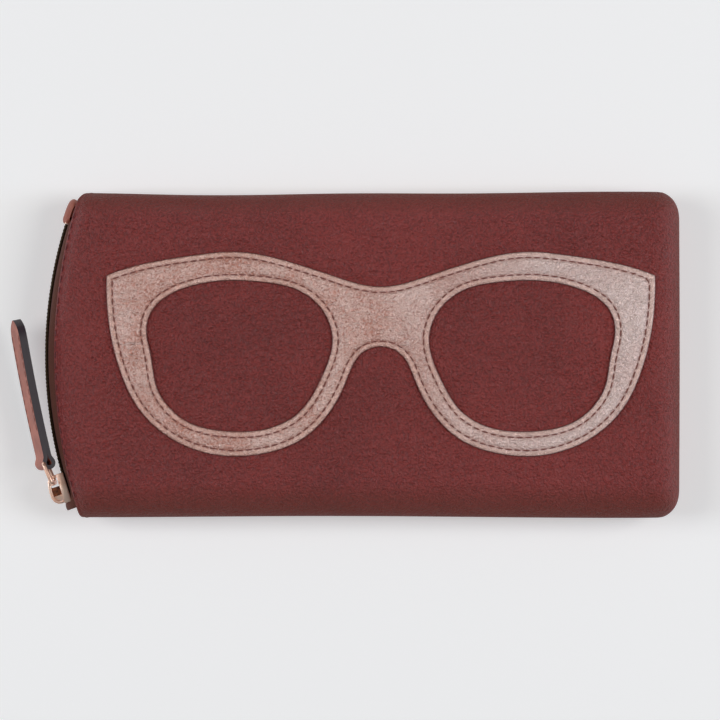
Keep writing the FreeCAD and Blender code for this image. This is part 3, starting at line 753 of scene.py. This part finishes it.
def swell(obj, held, most):
    """Lets the filling push the leather out, with its sewn and folded edges held: the move of each point."""
    rest = np.array([v.co for v in obj.data.vertices])
    pins = obj.vertex_groups.new(name="held")
    pins.add([int(i) for i in np.nonzero(held)[0]], 1.0, "REPLACE")
    cloth = obj.modifiers.new("filling", "CLOTH")
    cloth.settings.quality = 5
    cloth.settings.mass = 0.2
    cloth.settings.tension_stiffness = 25
    cloth.settings.compression_stiffness = 25
    cloth.settings.shear_stiffness = 12
    cloth.settings.bending_stiffness = 1.5
    cloth.settings.vertex_group_mass = "held"
    cloth.settings.use_pressure = True
    cloth.settings.uniform_pressure_force = 4
    cloth.settings.effector_weights.gravity = 0
    cloth.collision_settings.use_collision = False
    scene = bpy.context.scene
    for step in range(1, studio().swell_frames + 1):
        scene.frame_set(step)
    graph = bpy.context.evaluated_depsgraph_get()
    filled = obj.evaluated_get(graph).to_mesh()
    after = np.array([v.co for v in filled.vertices])
    obj.modifiers.remove(cloth)
    obj.vertex_groups.remove(pins)
    scene.frame_set(1)
    move = after - rest
    size = np.linalg.norm(move, axis=1)
    longest = max(float(size.max()), 1e-9)
    print("swell", longest / MM, "mm before the cap")
    return move * min(1.0, most * MM / longest)


def undulate(x, y, seed):
    """Slow unevenness of padded leather, in millimetres."""
    out = np.zeros(len(x))
    for i, (px, py) in enumerate(zip(x, y)):
        out[i] = 0.30 * noise.noise(Vector((px / 26, py / 20, seed))) + 0.12 * noise.noise(
            Vector((px / 9, py / 11, seed + 5)))
    return out


def note(mesh, name, values):
    """Keeps a number on each point of the mesh."""
    layer = mesh.attributes.new(name, "FLOAT", "POINT")
    layer.data.foreach_set("value", np.asarray(values, np.float32))


def applique_outline():
    """Points a quarter of a millimetre apart along the outlines of the spectacle applique."""
    bm = solid_copy("spectacle_applique")
    top = {f for f in bm.faces if f.normal.z > 0.9}
    edges = [e for e in bm.edges if sum(f in top for f in e.link_faces) == 1 and len(e.link_faces) == 2]
    points = []
    for edge in edges:
        a, b = (v.co.copy() for v in edge.verts)
        steps = max(1, int((b - a).length / 0.25))
        points += [a.lerp(b, k / steps) for k in range(steps)]
    bm.free()
    tree = KDTree(len(points))
    for i, p in enumerate(points):
        tree.insert((p.x, p.y, 0), i)
    tree.balance()
    return tree


def surface(name):
    """The finished surface of a piece, to lay others on."""
    graph = bpy.context.evaluated_depsgraph_get()
    return BVHTree.FromObject(bpy.data.objects[name], graph)


def lay_on(tree, x, y, side):
    """The point and direction of a surface under or over a place, in millimetres."""
    start = Vector((x * MM, y * MM, (MID + side * 60) * MM))
    spot, normal, _, _ = tree.ray_cast(start, Vector((0, 0, -side)))
    if spot is None:
        spot, normal, _, _ = tree.find_nearest(Vector((x * MM, y * MM, (MID + side * 8) * MM)))
    if normal.z * side < 0:
        normal = -normal
    return spot / MM, normal


def sewn_places(node):
    """Centre, direction and length of each stitch of a node, in millimetres."""
    bm = solid_copy(node)
    left = set(bm.verts)
    places = []
    while left:
        first = left.pop()
        group, queue = [first], [first]
        while queue:
            for edge in queue.pop().link_edges:
                for vert in edge.verts:
                    if vert in left:
                        left.remove(vert)
                        group.append(vert)
                        queue.append(vert)
        at = np.array([v.co for v in group])
        centre = at.mean(0)
        _, _, axes = np.linalg.svd(at - centre)
        span = (at - centre) @ axes[0]
        places.append((Vector(centre), Vector(axes[0]), float(span.max() - span.min())))
    bm.free()
    return sorted(places, key=lambda p: (round(p[0].x, 3), round(p[0].y, 3), round(p[0].z, 3)))


def stitches(places, width):
    """One short thread for each place: (centre, direction, normal, length)."""
    bm = bmesh.new()
    for centre, along, normal, span in places:
        side = normal.cross(along).normalized()
        turn = Matrix((along, side, normal)).transposed().to_4x4()
        size = Matrix.Diagonal((span / 2 * 1.08, width / 2, width / 2 * 0.8, 1))
        bmesh.ops.create_uvsphere(bm, u_segments=8, v_segments=6, radius=1,
                                  matrix=Matrix.Translation(centre) @ turn @ size @ Matrix.Rotation(
                                      math.pi / 2, 4, "Y"))
    return bm


def sew_on(name, node, tree, side, finish, lift=0.05):
    """Stitches of a node, laid on a surface."""
    width = sizes().stitch_width / MM
    placed = []
    for centre, along, span in sewn_places(node):
        spot, normal = lay_on(tree, centre.x, centre.y, side)
        flat = (along - normal * along.dot(normal)).normalized()
        placed.append((spot + normal * lift, flat, normal, span))
    return stands_for(piece(name, stitches(placed, width), finish), node)


# ---------------------------------------------------------------------------------- operators

class CASE_OT_panels(bpy.types.Operator):
    """Front and back leather panels with their folded edge at the mouth, the front one filled"""

    bl_idname = "case.panels"
    bl_label = "Leather panels"

    def execute(self, context):
        outline = applique_outline()
        for side, word in SIDES:
            bm, kept = panel_sheet(side)
            obj = piece(f"{word}_leather", bm, "oxblood_leather")
            at = np.array([v.co for v in obj.data.vertices]) / MM
            free = np.clip(kept["from_fold"] / 12, 0, 1) * roll_off(at[:, 0], at[:, 1], 0) ** 2
            wander = undulate(at[:, 0], at[:, 1], 3.0 + side) * free
            if side > 0:
                near = np.array([outline.find((x, y, 0))[2] for x, y, _ in at])
                wander = wander - 0.35 * np.exp(-(near / 2.2) ** 2) * free
                at = at + swell(obj, kept["held"], sizes().crown / MM) / MM
                at[:, 2] += wander
            else:
                at[:, 2] = np.maximum(at[:, 2] + np.abs(wander) * 0.4 - 0.1 * free, 0.02)
            obj.data.vertices.foreach_set("co", (at * MM).astype(np.float32).ravel())
            for name in ("from_fold", "along_fold", "near_seam"):
                note(obj.data, name, kept[name])
            thicken(obj, sizes().leather / MM)
            stands_for(obj, f"{word}_panel")
            obj = settle_body(obj, side)
            soften(obj)
        return {"FINISHED"}


INNER_ROWS = 61
INNER_FAR = 80


def inner_sheet(side, inset, start, heights):
    """A layer inside the leather: inset from it, and starting that far in from the folded edge."""
    def place(column, row):
        y = rows(INNER_ROWS)[row] * (HALF_WIDTH - inset)
        begin = fold_x(y * 0.98) + start
        end = closed_x(y, inset)
        share = 1 - (1 - column / INNER_FAR) ** 1.4
        x = begin + (end - begin) * (0.35 * column / INNER_FAR + 0.65 * share)
        height = heights(x - begin + start) * roll_off(x, y, inset)
        y = y + edge_wave(x, y)
        return np.stack([x, y, MID + side * np.maximum(height, 0.12)], 1)

    bm, _, _ = grid_piece(INNER_ROWS, INNER_FAR + 1, place)
    if side < 0:
        bmesh.ops.reverse_faces(bm, faces=bm.faces)
    return bm


def layer(side, name, node, finish, inset, start, thickness, heights):
    """An inner sheet with its thickness, tied to its half of the case."""
    obj = piece(name, inner_sheet(side, inset, start, heights), finish)
    thicken(obj, thickness)
    stands_for(obj, node)
    obj = settle_body(obj, side)
    soften(obj)
    return obj


class CASE_OT_padding(bpy.types.Operator):
    """Foam between the leather and the lining"""

    bl_idname = "case.padding"
    bl_label = "Padding"

    def execute(self, context):
        leather, foam = sizes().leather / MM, sizes().foam / MM

        def heights(d):
            return face_height(d) - leather - 0.35

        for side, word in SIDES:
            obj = layer(side, f"{word}_foam", f"{word}_padding", "foam", leather + 0.4, 9.0, foam, heights)
        return {"FINISHED"}


class CASE_OT_lining(bpy.types.Operator):
    """Woven lining of the two pocket halves"""

    bl_idname = "case.lining"
    bl_label = "Lining"

    def execute(self, context):
        leather, foam, cloth = (v / MM for v in (sizes().leather, sizes().foam, sizes().cloth))
        under = leather + foam + 0.9

        def heights(d):
            full = DEPTH / 2 - under
            return 3.3 + (full - 3.3) * (1 - np.exp(-np.maximum(d - 3.0, 0) / 5.0))

        for side, word in SIDES:
            layer(side, f"{word}_cloth", f"{word}_lining", "lining_cloth", under, 3.0, cloth, heights)
        return {"FINISHED"}


class CASE_OT_applique(bpy.types.Operator):
    """Spectacle applique of rose metallic leather, laid on the front"""

    bl_idname = "case.applique"
    bl_label = "Spectacle applique"

    def execute(self, context):
        low, high = reach("spectacle_applique")
        obj = piece("applique_leather", solid_copy("spectacle_applique"), "rose_leather")
        fine = obj.modifiers.new("even", "REMESH")
        fine.mode = "VOXEL"
        fine.voxel_size = 0.4 * MM
        fine.use_smooth_shade = True
        settle(obj)
        tree = surface("front_leather")
        outline = applique_outline()
        thick = high.z - low.z
        edges = []
        for vert in obj.data.vertices:
            x, y, z = vert.co / MM
            edge = outline.find((x, y, 0))[2]
            edges.append(edge)
            share = min(1.0, max(0.0, (z - low.z) / thick))
            bead = math.sqrt(max(0.0, 1 - (1 - min(edge, 0.75) / 0.75) ** 2))
            groove = 0.42 * math.exp(-((edge - 1.75) / 0.45) ** 2)
            puff = 0.12 * (1 - math.exp(-max(edge - 2, 0) / 2.5)) if edge > 2 else 0.0
            top = 0.25 + (thick - 0.2) * bead - groove + puff
            spot, _ = lay_on(tree, x, y, 1)
            vert.co.z = (spot.z + 0.04 + top * share) * MM
        note(obj.data, "from_edge", edges)
        bm = bmesh.new()
        bm.from_mesh(obj.data)
        bmesh.ops.smooth_vert(bm, verts=bm.verts, factor=0.4, use_axis_x=True, use_axis_y=True,
                              use_axis_z=True)
        bm.to_mesh(obj.data)
        bm.free()
        stands_for(obj, "spectacle_applique")
        with_front(obj)
        return {"FINISHED"}


class CASE_OT_applique_stitching(bpy.types.Operator):
    """Stitches along the applique's outline and its two lens openings"""

    bl_idname = "case.applique_stitching"
    bl_label = "Applique stitching"

    def execute(self, context):
        tree = surface("applique_leather")
        for word in ("applique_outline", "left_lens", "right_lens"):
            with_front(sew_on(f"{word}_thread", f"{word}_stitching", tree, 1, "rose_thread", 0.1))
        return {"FINISHED"}


class CASE_OT_mouth_stitching(bpy.types.Operator):
    """Stitches beside the folded edge of both panels"""

    bl_idname = "case.mouth_stitching"
    bl_label = "Mouth stitching"

    def execute(self, context):
        for side, word in SIDES:
            tree = surface(f"{word}_leather")
            settle_body(sew_on(f"{word}_mouth_thread", f"{word}_mouth_stitching", tree, side,
                               "burgundy_thread"), side)
        return {"FINISHED"}


def zip_radius():
    return sizes().zip_radius / MM


def zip_centre():
    return COIL_LOW.x + zip_radius()


def about_zip(along, out, up):
    """Places that far along the zip, out from its centre and up from the seam plane, in millimetres."""
    angle = math.pi - along / zip_radius()
    spots = np.broadcast_arrays(zip_centre() + out * np.cos(angle), out * np.sin(angle), MID + up)
    return np.stack(spots, -1)


def spun(profile, low, high, steps):
    """A profile of (radius, height) points swept about the zip's centre between two places along the zip."""
    radius = zip_radius()
    bm = bmesh.new()
    start = math.pi - low / radius
    verts = [bm.verts.new((r * math.cos(start), r * math.sin(start), z)) for r, z in profile]
    edges = [bm.edges.new(pair) for pair in zip(verts, verts[1:])]
    bmesh.ops.spin(bm, geom=verts + edges, cent=(0, 0, 0), axis=(0, 0, 1), dvec=(0, 0, 0),
                   angle=(low - high) / radius, steps=steps, use_merge=False, use_normal_flip=False,
                   use_duplicate=False)
    bmesh.ops.translate(bm, vec=(zip_centre(), 0, 0), verts=bm.verts)
    return bm


class CASE_OT_zip_tapes(bpy.types.Operator):
    """The zip's two woven tapes, sewn in under the folded edges"""

    bl_idname = "case.zip_tapes"
    bl_label = "Zip tapes"

    def execute(self, context):
        edge = zip_radius() - 1.2
        low, high = -44.0, 43.0
        loose_from, loose_over, lift = 38.8, 1.8, 2.6
        flat = 2.3
        for side, word in SIDES:
            profile = [(edge, 0.3), (edge, 1.2), (edge - 0.05, 2.2), (edge - 0.7, 3.0), (edge - 1.8, 3.55),
                       (edge - 3.0, 3.75), (edge - 5.0, 3.8), (edge - 8.0, 3.8)]
            bm = spun([(r, MID + side * h) for r, h in profile], low, high, 72)
            for vert in bm.verts:
                from_centre = vert.co - Vector((zip_centre(), 0, vert.co.z))
                rise = abs(vert.co.z - MID)
                loose = min(1.0, max(0.0, (-vert.co.y - loose_from) / loose_over))
                loose *= min(1.0, max(0.0, 1.35 - rise / 4))
                vert.co += from_centre.normalized() * lift * loose
                if rise > flat:
                    left = float(gape(np.array([vert.co.y]))[0])
                    vert.co.z = MID + side * (flat + (rise - flat) * left)
            bmesh.ops.recalc_face_normals(bm, faces=bm.faces)
            obj = piece(f"{word}_tape", bm, "zip_tape")
            thicken(obj, 0.42, 0.0)
            stands_for(obj, f"{word}_zip_tape")
            soften(settle_body(obj, side))
        return {"FINISHED"}


class CASE_OT_zip_coils(bpy.types.Operator):
    """The zip's two nylon coils"""

    bl_idname = "case.zip_coils"
    bl_label = "Zip coils"

    def execute(self, context):
        radius = zip_radius()
        pitch = sizes().coil_pitch / MM
        low, high = -40.2, 38.2
        wire = 0.22
        per_turn = 12
        half = (COIL_HIGH.z - COIL_LOW.z) / 2
        middle = COIL_LOW.z - MID + half
        for side, word in SIDES:
            count = int((high - low) / pitch * per_turn)
            line = bpy.data.curves.new(f"{word}_coil_line", "CURVE")
            line.dimensions = "3D"
            line.bevel_depth = wire * MM
            line.bevel_resolution = 1
            spline = line.splines.new("POLY")
            spline.points.add(count - 1)
            for k, point in enumerate(spline.points):
                turn = 2 * math.pi * k / per_turn + (math.pi if side < 0 else 0)
                out = radius - 0.53 + 0.31 * math.cos(turn)
                up = side * (middle + (half - wire) * math.sin(turn))
                point.co = (*about_zip(low + pitch * k / per_turn, out, up) * MM, 1)
            curve = linked(f"{word}_coil_line", line)
            graph = bpy.context.evaluated_depsgraph_get()
            mesh = bpy.data.meshes.new_from_object(curve.evaluated_get(graph), depsgraph=graph)
            bpy.data.objects.remove(curve)
            bm = bmesh.new()
            bm.from_mesh(mesh)
            resize(bm, 1 / MM)
            core = [(radius - 0.56 + 0.42 * math.cos(a), MID + side * (middle + 0.75 * math.sin(a)))
                    for a in np.arange(8) * math.pi / 4]
            filler = spun(core + core[:1], low, high, 60)
            bmesh.ops.remove_doubles(filler, verts=filler.verts, dist=1e-4)
            bmesh.ops.recalc_face_normals(filler, faces=filler.faces)
            cord = bpy.data.meshes.new("cord")
            filler.to_mesh(cord)
            filler.free()
            bm.from_mesh(cord)
            bpy.data.meshes.remove(cord)
            obj = piece(f"{word}_coil", bm, "zip_coil")
            stands_for(obj, f"{word}_zip_coil")
            settle_body(obj, side)
        return {"FINISHED"}


def polished(name, node, width, body, segments=2):
    """A rounded copy of a metal node's own solid."""
    bm = solid_copy(node)
    bmesh.ops.dissolve_limit(bm, angle_limit=math.radians(4), verts=bm.verts, edges=bm.edges)
    obj = piece(name, bm, "rose_gold")
    chamfer(obj, width, segments)
    stands_for(obj, node)
    if body == "front":
        return with_front(obj)
    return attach(obj, body)


class CASE_OT_zip_stops(bpy.types.Operator):
    """The metal stops at both ends of the zip"""

    bl_idname = "case.zip_stops"
    bl_label = "Zip stops"

    def execute(self, context):
        polished("front_stop", "front_top_stop", 0.15, "front")
        polished("back_stop", "back_top_stop", 0.15, "root")
        polished("end_stop", "zip_bottom_stop", 0.15, "root")
        return {"FINISHED"}


class CASE_OT_end_tab(bpy.types.Operator):
    """The leather tab over the zip's end"""

    bl_idname = "case.end_tab"
    bl_label = "End tab"

    def execute(self, context):
        half_long, half_wide = 3.7, 4.0
        middle = 41.0
        columns, lines = 25, 21

        def place(column, row):
            u = np.linspace(-1, 1, columns)[column]
            v = np.linspace(-1, 1, lines)[row]
            wide = half_wide * (1 - np.abs(u) ** 7 * 0.35)
            far = half_long * (1 - np.abs(v) ** 7 * 0.3)
            drop = 2.0 * np.abs(v) ** 2.2 + 0.7 * np.abs(u) ** 8 + 0.4 * np.clip(u, 0, 1) ** 2
            return about_zip(middle + far * u, zip_radius() + 1.0 - drop, wide * v)

        bm, _, _ = grid_piece(lines, columns, place)
        bmesh.ops.recalc_face_normals(bm, faces=bm.faces)
        # The tab takes the strap's darker copy of the rose leather, in painted shade.
        obj = piece("end_tab_leather", bm, "strap_leather")
        outward = sum(p.normal.x * p.area for p in obj.data.polygons)
        thicken(obj, 0.75, -1.0 if outward < 0 else 1.0)
        chamfer(obj, 0.2)
        stands_for(obj, "zip_end_tab")
        soften(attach(obj, "root"))
        return {"FINISHED"}


class CASE_OT_slider(bpy.types.Operator):
    """The zip's slider and the bridge that holds the pull"""

    bl_idname = "case.slider"
    bl_label = "Slider"

    def execute(self, context):
        polished("slider_metal", "zip_slider_body", 0.16, "slider")
        radius = zip_radius()
        across = 5
        arch = [(-33.95, 1.5), (-33.85, 2.4), (-34.2, 3.3), (-35.1, 3.9), (-36.4, 4.15), (-37.8, 4.25),
                (-39.2, 4.2), (-40.3, 3.8), (-41.0, 3.0), (-41.2, 2.1), (-41.1, 1.5)]
        lug_along, lug_out = -39.9, 2.6

        def place(column, row):
            s, out = np.array(arch)[column].T
            waist = 1 - 0.12 * np.sin((column / (len(arch) - 1)) * math.pi)
            return about_zip(s, radius + out, 1.6 * np.linspace(-1, 1, across)[row] * waist)

        bm, _, _ = grid_piece(across, len(arch), place)
        lug = (Matrix.Translation(about_zip(lug_along, radius + lug_out, 0.0))
               @ Matrix.Rotation(-lug_along / radius, 4, "Z") @ Matrix.Diagonal((2.6, 1.5, 2.2, 1)))
        obj = piece("bridge_metal", bm, "rose_gold")
        thicken(obj, 0.85, 0.0)
        bm = bmesh.new()
        bm.from_mesh(obj.data)
        resize(bm, 1 / MM)
        bmesh.ops.create_cube(bm, size=1, matrix=lug)
        resize(bm, MM)
        bm.to_mesh(obj.data)
        bm.free()
        chamfer(obj, 0.2)
        stands_for(obj, "slider_bridge")
        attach(obj, "slider")
        # A dark sheet under the bridge's arch, as painted shade where there is only shadow between the arch
        # and the link.
        under = [(-36.75, 1.2), (-36.75, 3.9), (-39.2, 3.9), (-40.2, 3.5), (-40.6, 2.9), (-40.6, 1.2)]

        def shade_sheet(column, row):
            s, out = np.array(under)[column].T
            return about_zip(s, radius + np.where(row > 0, out, 1.2), 0.0)

        bm, _, _ = grid_piece(2, len(under), shade_sheet)
        bmesh.ops.remove_doubles(bm, verts=bm.verts, dist=1e-3)
        bmesh.ops.recalc_face_normals(bm, faces=bm.faces)
        wall = piece("bridge_shade_sheet", bm, "shaded_metal")
        thicken(wall, 1.3, 0.0)
        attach(chamfer(wall, 0.12), "slider")
        return {"FINISHED"}


class CASE_OT_pull_link(bpy.types.Operator):
    """The wire link between the slider and the strap"""

    bl_idname = "case.pull_link"
    bl_label = "Pull link"

    def execute(self, context):
        polished("link_metal", "pull_link", 0.12, "link", 1)
        return {"FINISHED"}


def strap_frame():
    """Where the strap hangs on the link's bar, and the directions along it, to its side and up."""
    bar = Vector(joint("pull_swing")["pos_m"]) / MM
    lean = math.radians(11.4)
    along = Vector((-math.sin(lean), math.cos(lean), 0))
    side = Vector((math.cos(lean), math.sin(lean), 0))
    tilt = sizes().strap_tilt
    across = side * math.sin(tilt) + Vector((0, 0, 1)) * math.cos(tilt)
    return bar, along, side * math.cos(tilt) - Vector((0, 0, 1)) * math.sin(tilt), across


def joint(name):
    return next(j for j in frame["joints"] if j["name"] == name)


class CASE_OT_pull_strap(bpy.types.Operator):
    """The leather strap, folded round the link, with its painted edges and stitches"""

    bl_idname = "case.pull_strap"
    bl_label = "Pull strap"

    def execute(self, context):
        bar, along, side, across = strap_frame()
        reach_up, tip, half_wide = 41.0, 5.0, 4.85
        layer_half, hole = 0.55, 0.72
        neck = [(3.6, 0.55), (2.6, 0.55), (1.9, 0.6), (1.4, 0.72), (0.95, 0.98)]
        one_side = [(u, layer_half) for u in np.linspace(reach_up, 4.6, 24)] + neck
        turns = [math.radians(66 + 16 * k) for k in range(8)]
        loop = [((hole + layer_half) * math.cos(a), (hole + layer_half) * math.sin(a)) for a in turns
                if a < math.pi]
        half_way = one_side + loop
        path = np.array([(u, -t) for u, t in half_way] + [(-hole - layer_half, 0.0)]
                        + [(u, t) for u, t in reversed(half_way)])
        count = 15

        def place(column, row):
            u, t = path[column, 0], path[column, 1]
            v = np.linspace(-1, 1, count)[row]
            over = np.clip(u - (reach_up - tip), 0, tip * 0.995)
            half = half_wide * np.sqrt(1 - (over / tip) ** 2) ** 0.9
            half = np.maximum(half, 0.4)
            bow = 0.35 * np.sin(u / reach_up * math.pi)
            origin = np.array(bar)
            return (origin + np.outer(u, np.array(along)) + np.outer(t - bow, np.array(side))
                    + np.outer(half * v, np.array(across)))

        bm, _, _ = grid_piece(count, len(path), place)
        obj = piece("strap_leather_folded", bm, "strap_leather")
        obj.data.materials.append(material("edge_paint"))
        thicken(obj, 2 * layer_half * 1.04, 0.0, rim=1)
        chamfer(obj, 0.28, 2, 50)
        stands_for(obj, "pull_strap")
        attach(obj, "strap")
        soften(obj)
        width = sizes().stitch_width / MM * 0.8
        tree = surface("strap_leather_folded")
        placed = []
        for centre, direction, span in sewn_places("pull_strap_stitching"):
            off = centre - bar
            u, z = off.dot(along), centre.z - bar.z
            sign = 1 if off.dot(Vector((along.y, -along.x, 0))) > 0 else -1
            spot = bar + along * u + across * z + side * sign * 4
            hit, normal, _, _ = tree.ray_cast(spot * MM, -side * sign)
            if hit is None:
                continue
            flat = direction - normal * direction.dot(normal)
            placed.append((hit / MM + normal * 0.03, flat.normalized(), normal, span))
        thread = piece("strap_thread", stitches(placed, width), "rose_thread")
        stands_for(thread, "pull_strap_stitching")
        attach(thread, "strap")
        return {"FINISHED"}


class CASE_OT_stage(bpy.types.Operator):
    """Floor, lights and camera"""

    bl_idname = "case.stage"
    bl_label = "Floor, lights and camera"

    def light(self, name, place, size, power, colour):
        lamp = bpy.data.lights.new(name, "AREA")
        lamp.shape = "RECTANGLE"
        lamp.size, lamp.size_y = size
        lamp.energy = power
        lamp.color = colour
        obj = linked(name, lamp)
        obj.location = place
        obj.rotation_euler = (Vector((0, 0, 0)) - Vector(place)).to_track_quat("-Z", "Y").to_euler()

    def execute(self, context):
        bm = bmesh.new()
        bmesh.ops.create_grid(bm, x_segments=2, y_segments=2, size=3000)
        bmesh.ops.translate(bm, vec=(0, 0, -0.15), verts=bm.verts)
        piece("floor", bm, "floor")
        s = studio()
        warm, cool = (1.0, 0.98, 0.95), (0.62, 0.76, 1.0)
        self.light("high_left", (-0.85, 0.1, 1.0), (0.5, 0.7), s.high * 0.46, warm)
        self.light("high_right", (0.85, 0.1, 1.0), (0.5, 0.7), s.high * 0.54, warm)
        self.light("low_left", (-1.0, 0.0, 0.42), (0.25, 0.9), s.left, cool)
        self.light("low_right", (1.0, 0.0, 0.42), (0.25, 0.9), s.right, cool)
        world = bpy.data.worlds.new("studio")
        world.use_nodes = True
        sky = world.node_tree.nodes["Background"]
        sky.inputs["Color"].default_value = (1, 1, 1, 1)
        sky.inputs["Strength"].default_value = s.ambient
        bpy.context.scene.world = world
        camera = bpy.data.cameras.new("camera")
        camera.lens = camera.sensor_width * (s.camera_height - MID * MM) / s.view_width
        camera.clip_end = 20
        eye = linked("camera", camera)
        eye.location = (-0.00185, -0.0014, s.camera_height)
        bpy.context.scene.camera = eye
        bpy.context.scene.view_settings.view_transform = "Standard"
        return {"FINISHED"}


class CASE_PT_tools(bpy.types.Panel):
    """Lists the pieces and what can be changed"""

    bl_idname = "CASE_PT_tools"
    bl_label = "Eyeglasses Case"
    bl_space_type = "VIEW_3D"
    bl_region_type = "UI"
    bl_category = "Eyeglasses Case"

    def draw(self, context):
        for group in (context.scene.case_sizes, context.scene.case_colours, context.scene.case_studio):
            box = self.layout.box()
            for name in group.__annotations__:
                box.prop(group, name)
        column = self.layout.column()
        for operator in OPERATORS:
            column.operator(operator.bl_idname)


OPERATORS = (
    CASE_OT_stage,
    CASE_OT_panels,
    CASE_OT_padding,
    CASE_OT_lining,
    CASE_OT_applique,
    CASE_OT_applique_stitching,
    CASE_OT_mouth_stitching,
    CASE_OT_zip_tapes,
    CASE_OT_zip_coils,
    CASE_OT_zip_stops,
    CASE_OT_end_tab,
    CASE_OT_slider,
    CASE_OT_pull_link,
    CASE_OT_pull_strap,
)
GROUPS = (("case_sizes", CaseSizes), ("case_colours", CaseColours), ("case_studio", StudioSettings))


def register():
    for name, group in GROUPS:
        bpy.utils.register_class(group)
        setattr(bpy.types.Scene, name, PointerProperty(type=group))
    for item in (*OPERATORS, CASE_PT_tools):
        bpy.utils.register_class(item)


def unregister():
    for item in reversed((*OPERATORS, CASE_PT_tools)):
        bpy.utils.unregister_class(item)
    for name, group in reversed(GROUPS):
        delattr(bpy.types.Scene, name)
        bpy.utils.unregister_class(group)


def main():
    """Makes every piece in turn."""
    register()
    for operator in OPERATORS:
        module, name = operator.bl_idname.split(".")
        getattr(getattr(bpy.ops, module), name)()


if __name__ == "__main__":
    main()
